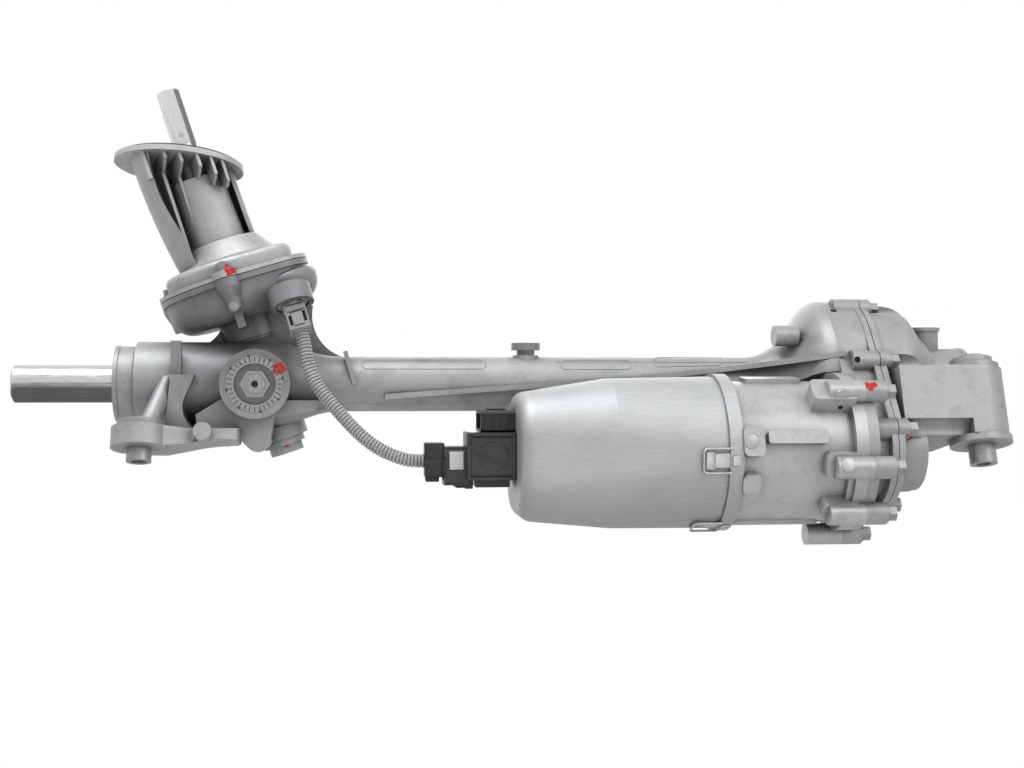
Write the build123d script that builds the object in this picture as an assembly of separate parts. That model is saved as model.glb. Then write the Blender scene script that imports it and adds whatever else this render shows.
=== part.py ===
from build123d import *
import math
import os

# Electric power steering rack. The row frame has +X along the rack, +Z along the mounting bolts
# and its origin at the centre of the left mounting sleeve's lower face.
# Castings are drawn in the gear frame: x along the rack, v and w across it, w towards the motor side.

# placing of the gear in the row frame
RACK_Y = 66.0
RACK_Z = 75.5
GEAR_TILT = 16.5

# rack bar
RACK_R = 14.0
RACK_LEFT = -101.7
RACK_RIGHT = 655.0
TIE_ROD_THREAD_R = 7.2
TIE_ROD_THREAD_DEPTH = 26.0
END_CHAMFER = 1.2
TEETH_LEFT = -18.0
RACK_TEETH = 27
TRAVEL_LEFT = 34.0
TRAVEL_RIGHT = 81.0

# rack and pinion gearing
NORMAL_MODULE = 2.1
PINION_TEETH = 8
PRESSURE_ANGLE = 25.0
SHAFT_LEAN = 18.3
PINION_ADDENDUM = 2.1
RACK_ADDENDUM = 1.6
TIP_CLEARANCE = 0.3
BACKLASH = 0.16
PINION_X = 80.4
MESH_DEPTH = 9.55

# general fits and walls
RUNNING = 0.05
BODY_GAP = 0.3
GASKET = 0.6

# main casting
COLLAR_LEFT = -27.0
COLLAR_R = 28.7
COLLAR_SEAT_R = 28.0
COLLAR_STEP = -13.0
BARREL_R = 31.4
RACK_BORE_R = 16.4
COLLAR_RECESS_R = 17.8
COLLAR_RECESS_DEPTH = 8.0
BARREL_END = 112.0
TUBE_START = 150.0
TUBE_R = 20.8
BELL_START = 450.0
BELL_END = 507.5
BELL_R = 64.5
CASE_JOINT = 535.7
CASE_R = 62.0
RIM_WIDTH = 3.0
RIM_THICK = 4.5

# yoke, which presses the bar into the pinion
YOKE_X = 76.7
YOKE_R = 20.4
YOKE_BOSS_R = 25.2
YOKE_BOSS_FACE = 52.0
YOKE_BACK = 34.0
LINER = 0.7
YOKE_PLUG_R = 21.0
YOKE_PLUG_BACK = 40.0
YOKE_PLUG_FACE = 51.0
YOKE_POCKET_R = 15.0
YOKE_POCKET_DEPTH = 7.0
YOKE_SLITS = 32
HEX_FLATS = 19.0
HEX_HEIGHT = 5.0
HEX_COLLAR_R = 7.0
HEX_HOLE_R = 2.5
ADJUSTER_R = 9.0
SPRING_R = 8.6
SPRING_BORE_R = 4.0
SPRING_THICK = 1.1
SPRING_DISCS = 4

# pinion shaft and its bearings, measured along the shaft from the rack's centre line
PINION_FACE = 40.0
PINION_BORE_R = 12.2
LOWER_JOURNAL_R = 6.5
LOWER_BEARING_R = 11.0
LOWER_BEARING_TOP = -22.0
LOWER_BEARING_LENGTH = 12.0
UPPER_JOURNAL_R = 8.5
UPPER_BEARING_R = 15.0
UPPER_BEARING_LOW = 26.0
UPPER_BEARING_LENGTH = 9.0
PINION_TOP = 66.0
PLUG_R = 13.0
PLUG_SEAT = -44.0
PLUG_FLANGE = 5.0
PLUG_HEX_FLATS = 22.0
PLUG_HEX_HEIGHT = 6.5

# pinion tower and sensor can
NECK_R = 17.6
CAN_R = 50.0
CAN_LOBE_R = 27.0
CAN_LOBE_RIGHT = 31.0
CAN_LOBE_FRONT = 14.0
CAN_CENTRE = -2.0
CAN_BOTTOM = 51.0
CAN_TOP = 81.0
CAN_BLEND = 17.0
CAN_BULGE_R = 26.0
CAN_BULGE_RIGHT = 38.0
CAN_BORE_R = 40.0
CAN_FLOOR = 57.0
SENSOR_RING_R = 39.0
SENSOR_LOW = 60.0
SENSOR_HIGH = 78.0
SENSOR_MAGNET_R = 12.6
TOWER_BOLT_R = 3.0
TOWER_BOLT_CIRCLE = 51.0
TOWER_BOLT_SEAT = 6.0

# tower cover with its ribbed bulkhead funnel
COVER_RIM = 3.0
COVER_STEP = 97.0
CONE_TOP = 112.0
CONE_CENTRE = 4.0
CONE_R = 37.0
CONE_TOP_R = 27.0
SHAFT_TUBE_LOW_R = 22.0
SHAFT_TUBE_TOP_R = 19.6
SHAFT_TUBE_TOP = 163.0
BOOT_R = 13.0
SHAFT_PASSAGE_R = 10.6
FUNNEL_RINGS = ((98.0, -2.0, 32.0), (148.0, -6.0, 34.6), (205.0, -6.8, 35.2))
FUNNEL_WALL = 3.0
FUNNEL_FRONT = 6.0
PLATE_HALF_LENGTH = 48.3
PLATE_HALF_WIDTH = 38.0
PLATE_THICK = 4.0
PLATE_CENTRE = -8.0
PLATE_HEIGHT = 176.8
PLATE_SLOPE = 22.1
PLATE_LEAN = 12.0
FIN_THICK = 2.4
FIN_FRONT = 34.0
FIN_STEP = 18.0
FIN_YAW = 21.0
FINS = (
    (-14.4, 184.0, 106.0), (-4.0, 177.6, 106.0), (7.9, 170.4, 106.0),
    (18.2, 164.1, 157.0), (27.1, 159.8, 152.0),
)
SEAL_THICK = 2.4
SEAL_WIDTH = 7.0
SEAL_INSET = 4.0

# input shaft and torsion bar
SHAFT_R = 9.25
SHAFT_JOURNAL_R = 9.0
SHAFT_STEP = 191.0
SHAFT_TOP = 234.0
SHAFT_LOW = 68.0
SHAFT_BORE_R = 3.4
SHAFT_FLAT = 1.6
TIP_FLAT_LOW = 217.5
TIP_FLAT = 2.2
TORSION_BAR_R = 2.6
TORSION_BAR_HEAD_R = 3.35
PIN_R = 1.9
PIN_HEIGHT = 198.4
INPUT_BEARING_R = 13.5
INPUT_BEARING_LOW = 140.0
INPUT_BEARING_LENGTH = 12.0
SHAFT_SEAL_LENGTH = 7.0

# motor, its housing and the control unit's cover
MOTOR_V = -50.0
MOTOR_W = 66.0
MOTOR_R = 55.5
MOTOR_BODY_R = 52.0
MOTOR_BORE_R = 48.0
MOTOR_LEFT = 404.0
COVER_LEFT = 262.0
COVER_TIP_R = 45.0
COVER_TIP_V = -52.0
COVER_SHEET = 2.0
COVER_CORNER = 11.0
BAND_LEFT = 407.5
BAND_RIGHT = 417.0
BAND_THICK = 2.0
STATOR_LEFT = 432.0
STATOR_RIGHT = 496.0
STATOR_BORE_R = 29.0
STATOR_TEETH = 12
ROTOR_R = 28.3
ROTOR_SHAFT_R = 8.0
ROTOR_SHAFT_LEFT = 408.0
MOTOR_BEARING_R = 17.5
REAR_BEARING_R = 13.0
BOARD_X = 372.0
BOARD_POSTS = ((30, 0), (-30, 0), (0, 30), (0, -30))

# ball nut and belt drive
SCREW_LEAD = 7.0
NUT_R = 24.0
NUT_LEFT = 511.0
NUT_RIGHT = 569.0
NUT_BEARING_R = 41.0
NUT_BEARING_LEFT = 514.0
NUT_BEARING_LENGTH = 18.0
NUT_BALL_R = 5.0
NUT_BALLS = 12
BELT_PITCH = 3.0
DRIVEN_TEETH = 100
DRIVE_TEETH = 36
BELT_THICK = 2.4
PULLEY_LEFT = 539.0
PULLEY_WIDTH = 18.0
PULLEY_HUB_R = 34.0

# end casting
DOME_START = 558.0
DOME_CURVE = ((569.3, 59.8), (579.2, 51.0), (589.1, 39.0), (595.7, 32.3))
LOBE_R = 30.5
LOBE_END = 575.5
LOBE_CORNER = 14.0
MOTOR_LOBE_R = 35.0
END_COLLAR_R = 28.0
END_COLLAR_LIP_R = 28.7
END_COLLAR_RIGHT = 629.0
END_SEAT_LEFT = 603.0
END_SEAT_RIGHT = 625.4
SPIGOT_X = 599.3
SPIGOT_R = 11.2
SPIGOT_TOP = 44.7

# mounting feet: bolts run along the row's Z
LEFT_FOOT_R = 19.5
LEFT_FOOT_LOW = 9.5
LEFT_FOOT_HIGH = 23.8
LEFT_BOSS_R = 15.8
LEFT_BOSS_HIGH = 28.5
LEFT_SLEEVE_R = 8.6
BOLT_BORE_R = 5.2
RIGHT_MOUNT_X = 609.4
RIGHT_SLEEVE_LOW = -5.8
RIGHT_SLEEVE_HIGH = 76.9
RIGHT_SLEEVE_R = 9.9
ARM_R = 21.0
ARM_LOW = 13.7
ARM_HIGH = 64.9
ARM_BORE_R = 17.5
BUSH_FLANGE_R = 22.6
BUSH_FLANGE_THICK = 5.0
BUSH_COLLAR_R = 15.5
BUSH_COLLAR_HIGH = 74.5

# small parts
CASE_BOLT_R = 4.0
BOLT_FLATS = 10.0
BOLT_HEAD = 7.5
BOLT_POCKET_R = 8.2
CASE_BOLT_SEAT = 8.0
MOTOR_BOLT_SEAT = 16.0
BOSS_R = 8.0
POWER_LEFT = 237.0
POWER_V = -26.8
POWER_W = 62.0
POWER_HALF_V = 7.8
POWER_HALF_W = 18.0
POWER_FLOOR = 259.0
PIN_REACH = 9.0
SOCKET_R = 16.0
SOCKET_BORE_R = 12.0
SOCKET_DEPTH = 5.0
CLIP_WIRE_R = 0.9
CLIP_REACH = 20.0
CLIP_HALF = 8.6
CLIP_CORNER = 3.0
VENT_X = 279.5
VENT_CAP_R = 11.0
VENT_STEM_R = 6.8
CONDUIT_R = 5.0

PULLEY_TURN = 2 * math.pi
DRIVEN_R = DRIVEN_TEETH * BELT_PITCH / PULLEY_TURN
DRIVE_R = DRIVE_TEETH * BELT_PITCH / PULLEY_TURN
HELIX = math.radians(SHAFT_LEAN)
PITCH_R = PINION_TEETH * NORMAL_MODULE / (2 * math.cos(HELIX))
PINION_W = -(MESH_DEPTH + PITCH_R)
MOTOR_FRONT = CASE_JOINT - BELL_END

GEAR = Location((0, RACK_Y, RACK_Z), (90 + GEAR_TILT, 0, 0))
TOWER = Plane(
    origin=(PINION_X, 0, PINION_W),
    x_dir=(math.cos(HELIX), math.sin(HELIX), 0),
    z_dir=(-math.sin(HELIX), math.cos(HELIX), 0),
).location
UP = (Align.CENTER, Align.CENTER, Align.MIN)


def bar_x(radius, left, right, v=0.0, w=0.0):
    """A round bar along the rack."""
    return Pos(left, v, w) * Rot(0, 90, 0) * Cylinder(radius, right - left, align=UP)


def bar_z(radius, low, high, x=0.0, y=0.0):
    """A round bar along the local third axis."""
    return Pos(x, y, low) * Cylinder(radius, high - low, align=UP)


def bar_v(radius, low, high, x, w):
    """A round bar along v."""
    return Pos(x, low, w) * Rot(-90, 0, 0) * Cylinder(radius, high - low, align=UP)


def block(x0, x1, y0, y1, z0, z1):
    """A block between two corners."""
    return Pos(x0, y0, z0) * Box(x1 - x0, y1 - y0, z1 - z0, align=(Align.MIN,) * 3)


def turned_x(outline):
    """A solid turned about the rack's axis from (x, radius) points."""
    return revolve(make_face(outline), Axis.X)


def turned_z(points):
    """A solid turned about the local third axis from (radius, height) points."""
    return revolve(Plane.XZ * make_face(Polyline(*points, close=True)), Axis.Z)


def rod(radius, start, end):
    """A round bar between two points."""
    along = Vector(*end) - Vector(*start)
    return Plane(origin=start, z_dir=along) * Cylinder(radius, along.length, align=UP)


def hex_bar(flats, low, high):
    """A hexagonal bar across the given flats."""
    return extrude(Plane.XY.offset(low) * RegularPolygon(flats / 2, 6, major_radius=False), high - low)


def joined_circles(first, first_r, second, second_r):
    """The outline of two circles with their outer tangents."""
    span = math.hypot(second[0] - first[0], second[1] - first[1])
    along = math.atan2(second[1] - first[1], second[0] - first[0])
    spread = math.acos((first_r - second_r) / span)
    corners = []
    for centre, radius, side in (
        (first, first_r, 1),
        (second, second_r, 1),
        (second, second_r, -1),
        (first, first_r, -1),
    ):
        angle = along + side * spread
        corners.append((centre[0] + radius * math.cos(angle), centre[1] + radius * math.sin(angle)))
    bridge = make_face(Polyline(*corners, close=True))
    return bridge + Pos(*first) * Circle(first_r) + Pos(*second) * Circle(second_r)


def case_outline(rack_r, motor_r):
    """The gear case's two-lobed outline, round the rack and the motor, across the rack."""
    return joined_circles((0, 0), rack_r, (MOTOR_V, MOTOR_W), motor_r)


def across(x):
    """The plane across the rack at x."""
    return Plane.YZ.offset(x)


def on_lobe(angle, radius):
    """A point at an angle round the motor, as (v, w)."""
    turn = math.radians(angle)
    return MOTOR_V + radius * math.cos(turn), MOTOR_W + radius * math.sin(turn)


def on_case(angle, radius):
    """A point at an angle round the rack, as (v, w)."""
    turn = math.radians(angle)
    return radius * math.cos(turn), radius * math.sin(turn)


CASE_BOLTS = [
    on_case(20, CASE_R - 0.5),
    on_case(75, CASE_R + 4.0),
    on_case(-35, CASE_R),
    on_case(-95, CASE_R),
    on_case(-150, CASE_R),
    on_lobe(62, 37.0),
    on_lobe(178, 40.0),
]
MOTOR_BOLTS = [on_lobe(angle, MOTOR_R + 6.5) for angle in (44, 98, 133, 185)]
TOWER_BOLTS = [
    (TOWER_BOLT_CIRCLE * math.cos(math.radians(a)), TOWER_BOLT_CIRCLE * math.sin(math.radians(a)))
    for a in (-90, 40, 160)
]


def can_outline(grow=0.0):
    """The sensor can's outline, with the lobe that carries its socket."""
    return joined_circles(
        (CAN_CENTRE, 0), CAN_R + grow, (CAN_LOBE_RIGHT, -CAN_LOBE_FRONT), CAN_LOBE_R + grow
    )


# main housing


def barrel_and_bell():
    """The turned outside of the rack barrel, the tube and the bell."""
    with BuildLine() as outline:
        Polyline(
            (COLLAR_LEFT, 0),
            (COLLAR_LEFT, COLLAR_R),
            (COLLAR_LEFT + 3, COLLAR_R),
            (COLLAR_LEFT + 3.6, COLLAR_SEAT_R),
            (COLLAR_STEP, COLLAR_SEAT_R),
            (COLLAR_STEP + 1.5, BARREL_R),
            (BARREL_END - 24, BARREL_R),
        )
        Spline(
            (BARREL_END - 24, BARREL_R),
            (BARREL_END, (BARREL_R + TUBE_R) / 2),
            (TUBE_START - 12, TUBE_R),
            tangents=((1, 0), (1, 0)),
        )
        Line((TUBE_START - 12, TUBE_R), (BELL_START, TUBE_R))
        Spline(
            (BELL_START, TUBE_R),
            (BELL_START + 24, TUBE_R + 8),
            (BELL_END - 16, BELL_R - 17),
            (BELL_END, BELL_R),
            tangents=((1, 0), (1, 0.35)),
        )
        Polyline((BELL_END, BELL_R), (CASE_JOINT, BELL_R), (CASE_JOINT, 0), (COLLAR_LEFT, 0))
    return turned_x(outline.line)


def gear_case():
    """The two-lobed box that carries the motor, with its rim at the joint."""
    box = extrude(across(BELL_END) * case_outline(CASE_R, MOTOR_LOBE_R), MOTOR_FRONT)
    rim = extrude(across(CASE_JOINT - RIM_THICK) * case_outline(CASE_R + RIM_WIDTH, 42.0), RIM_THICK)
    seat = bar_x(MOTOR_R + RIM_WIDTH, BELL_END, BELL_END + 8, MOTOR_V, MOTOR_W)
    return box + rim + seat


def case_bosses(left, right):
    """The bosses for the bolts that join the two castings."""
    bosses = [bar_x(BOSS_R, left, right, v, w) for v, w in CASE_BOLTS]
    return sum(bosses[1:], bosses[0])


def motor_bosses(left, right):
    """The bosses for the bolts that hold the motor."""
    bosses = [bar_x(BOSS_R, left, right, v, w) for v, w in MOTOR_BOLTS]
    return sum(bosses[1:], bosses[0])


def pinion_tower():
    """The pinion's barrel, the neck and the sensor can, in the gear frame."""
    neck = bar_z(NECK_R, PLUG_SEAT, CAN_BOTTOM + 6) + bar_z(NECK_R + 2, 36, CAN_BOTTOM + 6)
    foot = turned_z([(0, -8), (NECK_R + 9, -8), (NECK_R + 9, 20), (NECK_R, 34), (0, 34)])
    can = extrude(Plane.XY.offset(CAN_BOTTOM) * can_outline(), CAN_TOP - CAN_BOTTOM)
    can = fillet(can.faces().sort_by(Axis.Z)[0].edges(), CAN_BLEND)
    rim = extrude(Plane.XY.offset(CAN_TOP - 4) * can_outline(2.5), 4)
    columns = [Pos(x, y) * screw_column() for x, y in TOWER_BOLTS]
    plug_seat = bar_z(PLUG_R + 7, PLUG_SEAT, PLUG_SEAT + 10)
    web = block(-3, 3, -TOWER_BOLT_CIRCLE + 7, -12, CAN_BOTTOM - 7, CAN_BOTTOM + 9)
    bulge = bar_z(CAN_BULGE_R, CAN_BOTTOM, CAN_TOP - 6, CAN_BULGE_RIGHT, -CAN_LOBE_FRONT - 2)
    bulge = fillet(bulge.faces().sort_by(Axis.Z)[0].edges(), CAN_BLEND)
    bulge = fillet(bulge.faces().sort_by(Axis.Z)[-1].edges(), 6)
    return TOWER * (neck + foot + can + rim + bulge + sum(columns[1:], columns[0]) + plug_seat + web)


def screw_column():
    """A tapered column for one of the cover's screws."""
    return turned_z(
        [
            (0, CAN_TOP - 23), (5.6, CAN_TOP - 23), (6.4, CAN_TOP - 15),
            (9.0, CAN_TOP - 7), (9.0, CAN_TOP), (0, CAN_TOP),
        ]
    )


def socket_axis():
    """The sensor socket's mouth and the direction into the can."""
    mouth, outside = Vector(*SENSOR_SOCKET), Vector(*CONDUIT_POINTS[0])
    return mouth, (mouth - outside).normalized()


def tower_webs():
    """The thin webs that tie the tower to the barrel and the tube."""
    right = make_face(
        Polyline((PINION_X, 20), (TUBE_START - 9, TUBE_R - 0.5))
        + ThreePointArc((TUBE_START - 9, TUBE_R - 0.5), (122, 34), (117, 60))
        + Polyline((117, 60), (PINION_X, 60), (PINION_X, 20))
    )
    left = make_face(
        Polyline((PINION_X, 20), (30, 28))
        + ThreePointArc((30, 28), (44, 36), (50, 50))
        + Polyline((50, 50), (PINION_X, 55), (PINION_X, 20))
    )
    return [extrude(Plane.XY.offset(PINION_W - 4) * web, 9) for web in (right, left)]


def front_rib():
    """The parting rib along the front of the tube, rising towards the bell."""
    low = [(171, -11.5), (290, -3), (410, 7.2), (512, 21)]
    high = [(x, v + 4.0) for x, v in reversed(low)]
    outline = make_face(
        Spline(*low)
        + Line(low[-1], high[0])
        + Spline(*high)
        + Line(high[-1], low[0])
    )
    ridge = extrude(Plane.XY.offset(8) * outline, TUBE_R + 3 - 8)
    fin = extrude(Plane.XY.offset(20) * outline, 48)
    keep = Pos(0, -20, 0) * Rot(-90, 0, 0) * extrude(
        make_face(
            Polyline(
                (400, -(TUBE_R + 2)), (450, -27), (480, -42), (500, -58), (515, -66), (515, -18), (400, -18),
                close=True,
            )
        ), 60
    )
    return ridge + (fin & keep)


def mount_foot():
    """The flat foot with the left mounting eye and the web behind it, in the row frame."""
    outline = make_face(
        Polyline(
            (-LEFT_FOOT_R, 0), (-14, 12), (-2, 20), (60, 26), (66, 12), (30, -2), (0, -LEFT_FOOT_R),
            close=True,
        )
    )
    plate = extrude(Plane.XY.offset(LEFT_FOOT_LOW) * outline, LEFT_FOOT_HIGH - LEFT_FOOT_LOW)
    hollow = make_face(
        Spline(
            (14, LEFT_FOOT_LOW - 0.5), (30, LEFT_FOOT_LOW + 3),
            (47, LEFT_FOOT_LOW + 6.5), (70, LEFT_FOOT_LOW + 7),
        )
        + Polyline((70, LEFT_FOOT_LOW + 7), (70, 0), (14, 0), (14, LEFT_FOOT_LOW - 0.5))
    )
    plate -= extrude(Plane.XZ.offset(-60) * hollow, 120)
    eye = bar_z(LEFT_FOOT_R, LEFT_FOOT_LOW, LEFT_FOOT_HIGH)
    eye += bar_z(LEFT_BOSS_R, LEFT_FOOT_LOW, LEFT_BOSS_HIGH)
    web_boss = Pos(43, -1, 20) * Rot(90, 0, 0) * Cylinder(6.3, 14)
    web = make_face(
        Polyline((0, LEFT_FOOT_HIGH), (0, 16), (20, 16), (50, 25), (50, 37), close=True)
    )
    rear = Pos(6, 0, 0) * extrude(Plane.YZ * web, 60)
    return plate + eye + web_boss + rear


def foot_struts():
    """The struts that carry the foot up to the barrel, in the gear frame."""
    strut = make_face(
        Polyline((10, -42), (12.6, -28.5), (16, 3), (14.5, 7), (33, 7))
        + Spline((33, 7), (28.4, -4.5), (24.7, -15.6), (27, -26), (36, -34))
        + Polyline((36, -34), (36, -42), (10, -42))
    )
    post = extrude(Plane.XY.offset(8) * strut, 34)
    gusset = rod(6.5, (14, 6, 22), (2, -31, 58))
    front = make_face(
        Polyline(
            (34, -22), (YOKE_X - YOKE_BOSS_R + 2, -10), (YOKE_X, -8), (YOKE_X + YOKE_BOSS_R - 3, -12),
            (124, -12), (118, -20), (90, -24), (87, -40),
        )
        + Spline((87, -40), (85, -47), (78, -49.5), (71, -46), (66, -41), (55, -39), (36, -42.5))
        + Line((36, -42.5), (34, -22))
    )
    apron = extrude(Plane.XY.offset(-18) * front, 58)
    tab = block(15.5, 23, 2, 31.5, 26, 33.5)
    return post + gusset + apron + tab


def tube_details():
    """The lug, the vent's pad, the lower strip and the cast pads on the tube."""
    lug = Pos(145, 12, 16) * Rot(0, 0, 16) * Box(3.2, 26, 13)
    strip = block(122, 258, -19.6, -13.5, -8, 14)
    half_boss = bar_z(3.4, -4, 14, 258.5, -16.4)
    vent_pad = bar_v(VENT_STEM_R + 3, 8, TUBE_R + 1.2, VENT_X, 0)
    pads = block(156, 246, 12, 17, 0, 12.8) + block(300, 452, 12, 17, 0, 12.8)
    small = bar_x(8.0, 469, 487, 37, 24)
    return lug + strip + half_boss + vent_pad + pads + small


def main_housing():
    """The long main casting."""
    body = barrel_and_bell() + gear_case() + pinion_tower()
    body += bar_z(YOKE_BOSS_R, 0, YOKE_BOSS_FACE, YOKE_X, 0)
    for web in tower_webs():
        body += web
    body += front_rib() + foot_struts() + tube_details()
    body += case_bosses(CASE_JOINT - 20, CASE_JOINT) + motor_bosses(BELL_END, BELL_END + MOTOR_BOLT_SEAT)
    body += GEAR.inverse() * mount_foot()
    mouth, inward = socket_axis()
    body += rod(SOCKET_R, mouth - inward * 2, mouth + inward * 12)
    return body - main_bores()


def main_bores():
    """Everything that is bored out of the main casting."""
    bores = bar_x(RACK_BORE_R, COLLAR_LEFT - 1, CASE_JOINT + 1)
    bores += bar_x(COLLAR_RECESS_R, COLLAR_LEFT - 1, COLLAR_LEFT + COLLAR_RECESS_DEPTH)
    bores += bar_z(YOKE_R + RUNNING, 0, YOKE_BOSS_FACE + 1, YOKE_X, 0)
    bores += bar_z(YOKE_PLUG_R, YOKE_PLUG_BACK, YOKE_BOSS_FACE + 1, YOKE_X, 0)
    bores += TOWER * tower_bores()
    mouth, inward = socket_axis()
    bores += rod(SOCKET_BORE_R, mouth - inward * 6, mouth + inward * SOCKET_DEPTH)
    bores += TOWER * bar_z(PLUG_R + 4.5, PLUG_SEAT - 40, PLUG_SEAT)
    bores += bar_x(NUT_BEARING_R, NUT_BEARING_LEFT, CASE_JOINT + 1)
    bores += bar_x(NUT_BEARING_R - 5, NUT_LEFT - 5, NUT_BEARING_LEFT + 1)
    bores += bar_x(MOTOR_BEARING_R + 5.5, BELL_END - 1, CASE_JOINT + 1, MOTOR_V, MOTOR_W)
    bores += bar_x(MOTOR_R + RIM_WIDTH + 1, COVER_LEFT - 4, BELL_END, MOTOR_V, MOTOR_W)
    for v, w in CASE_BOLTS:
        bores += bar_x(CASE_BOLT_R, CASE_JOINT - 14, CASE_JOINT + 1, v, w)
    for v, w in MOTOR_BOLTS:
        bores += bar_x(CASE_BOLT_R, BELL_END - 1, BELL_END + MOTOR_BOLT_SEAT + 1, v, w)
        bores += bar_x(BOLT_POCKET_R, BELL_END + MOTOR_BOLT_SEAT, CASE_JOINT + 1, v, w)
    bores += GEAR.inverse() * bar_z(LEFT_SLEEVE_R, LEFT_FOOT_LOW - 1, LEFT_BOSS_HIGH + 1)
    bores += bar_v(VENT_STEM_R - 2, 10, TUBE_R + 3, VENT_X, 0)
    return bores


def tower_bores():
    """The stepped bore along the pinion, in the tower frame."""
    bores = bar_z(PINION_BORE_R, PLUG_SEAT - 1, CAN_FLOOR + 1)
    bores += bar_z(PLUG_R, PLUG_SEAT - 1, LOWER_BEARING_TOP - LOWER_BEARING_LENGTH)
    bores += bar_z(UPPER_BEARING_R, UPPER_BEARING_LOW, CAN_FLOOR + 1)
    bores += bar_z(CAN_BORE_R, CAN_FLOOR, CAN_TOP + 1)
    for x, y in TOWER_BOLTS:
        bores += bar_z(TOWER_BOLT_R, CAN_TOP - 18, CAN_TOP + 1, x, y)
    return bores


# tower cover


def plate_frame(lift=0.0):
    """The bulkhead plate's frame, in the tower frame."""
    slope = math.radians(PLATE_SLOPE)
    lean = math.radians(PLATE_LEAN)
    along = (math.cos(slope), 0, -math.sin(slope))
    normal = (
        math.sin(slope) * math.cos(lean),
        math.sin(lean),
        math.cos(slope) * math.cos(lean),
    )
    rise = -PLATE_CENTRE * math.tan(slope)
    return Plane(origin=(PLATE_CENTRE, 0, PLATE_HEIGHT + rise), x_dir=along, z_dir=normal).offset(lift)


def funnel():
    """The thin wall round the shaft, open at the front, with its fins."""
    wall = funnel_form(0.0) - funnel_form(FUNNEL_WALL)
    mouth = make_face(
        Spline((-25.6, 188), (-28.0, 165), (-26.6, 148), (-22.6, 130), (-19.6, 109))
        + Polyline((-19.6, 109), (-17, 96), (46, 96), (46, 230), (-25.6, 230), (-25.6, 188))
    )
    wall -= extrude(Plane.XZ.offset(FUNNEL_FRONT) * mouth, 60)
    for place, top, low in FINS:
        wall += fin(place, top, low)
    wall += Pos(-29.4, -30, 0) * Rot(0, 0, 90 + FIN_YAW) * block(0, 14, -1.2, 1.2, 170, 230)
    slope, lean = math.radians(PLATE_SLOPE), math.radians(PLATE_LEAN)
    reach = Ellipse(PLATE_HALF_LENGTH * math.cos(slope) - 0.6, PLATE_HALF_WIDTH * math.cos(lean) - 0.6)
    wall &= extrude(Plane.XY.offset(90) * (Pos(PLATE_CENTRE, 0) * reach), 140)
    return wall - plate_frame(60) * Box(300, 300, 120)


def funnel_form(inset):
    """The funnel's outside, or its inside at an inset."""
    return loft([Plane.XY.offset(s) * (Pos(centre, 0) * Circle(r - inset)) for s, centre, r in FUNNEL_RINGS])


def fin(place, top, low):
    """One fin under the bulkhead plate: its foot at the plate's rim, then straight down beside the shaft."""
    profile = make_face(
        Polyline(
            (0, top + 40), (0, top - 3), (FIN_STEP, top - 11), (FIN_STEP, low), (34, low), (34, top + 40),
            close=True,
        )
    )
    frame = Plane(
        origin=(place, -FIN_FRONT, 0),
        x_dir=(-math.sin(math.radians(FIN_YAW)), math.cos(math.radians(FIN_YAW)), 0),
        z_dir=(math.cos(math.radians(FIN_YAW)), math.sin(math.radians(FIN_YAW)), 0),
    )
    return extrude(frame * profile, FIN_THICK / 2, both=True)


def tower_cover():
    """The upper casting: cover, shaft tube, funnel and bulkhead plate, in the tower frame."""
    base = extrude(Plane.XY.offset(CAN_TOP + GASKET) * can_outline(2.5), COVER_RIM)
    step = joined_circles((CAN_CENTRE, 0), CAN_R - 5, (CAN_LOBE_RIGHT - 2, -CAN_LOBE_FRONT), CAN_LOBE_R - 5)
    step = extrude(Plane.XY.offset(CAN_TOP + GASKET) * step, COVER_STEP - CAN_TOP - GASKET)
    step = fillet(step.faces().sort_by(Axis.Z)[-1].edges(), 5)
    cone = Pos(CONE_CENTRE, 0) * turned_z(
        [
            (0, CAN_TOP + 5), (CONE_R + 3, CAN_TOP + 5), (CONE_R, COVER_STEP + 1),
            (CONE_TOP_R, CONE_TOP), (0, CONE_TOP),
        ]
    )
    tube = turned_z(
        [
            (0, CONE_TOP - 2), (SHAFT_TUBE_LOW_R, CONE_TOP - 2),
            (SHAFT_TUBE_TOP_R, SHAFT_TUBE_TOP), (0, SHAFT_TUBE_TOP),
        ]
    )
    plate = extrude(plate_frame(-PLATE_THICK) * Ellipse(PLATE_HALF_LENGTH, PLATE_HALF_WIDTH), PLATE_THICK)
    boot = bar_z(BOOT_R, SHAFT_TUBE_TOP - 2, PLATE_HEIGHT + 40) - plate_frame(60) * Box(300, 300, 120)
    bosses = [bar_z(BOSS_R + 1, CAN_TOP + GASKET, CAN_TOP + TOWER_BOLT_SEAT, x, y) for x, y in TOWER_BOLTS]
    solid = base + step + cone + tube + plate + boot + funnel() + sum(bosses[1:], bosses[0])
    solid -= bar_z(SHAFT_PASSAGE_R, CAN_TOP, SHAFT_TOP)
    solid -= bar_z(INPUT_BEARING_R, INPUT_BEARING_LOW, SHAFT_TUBE_TOP)
    solid -= bar_z(SENSOR_RING_R - 6, CAN_TOP, CAN_TOP + 10)
    for x, y in TOWER_BOLTS:
        solid -= bar_z(TOWER_BOLT_R + 0.4, CAN_TOP, CAN_TOP + 20, x, y)
        solid -= bar_z(BOSS_R - 1, CAN_TOP + TOWER_BOLT_SEAT, CAN_TOP + 50, x, y)
    return TOWER * solid


def tower_gasket():
    """The gasket between the can and the tower cover."""
    outline = can_outline() - Circle(CAN_BORE_R + 1)
    for point in TOWER_BOLTS:
        outline -= Pos(*point) * Circle(TOWER_BOLT_R + 0.4)
    return TOWER * extrude(Plane.XY.offset(CAN_TOP) * outline, GASKET)


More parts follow.
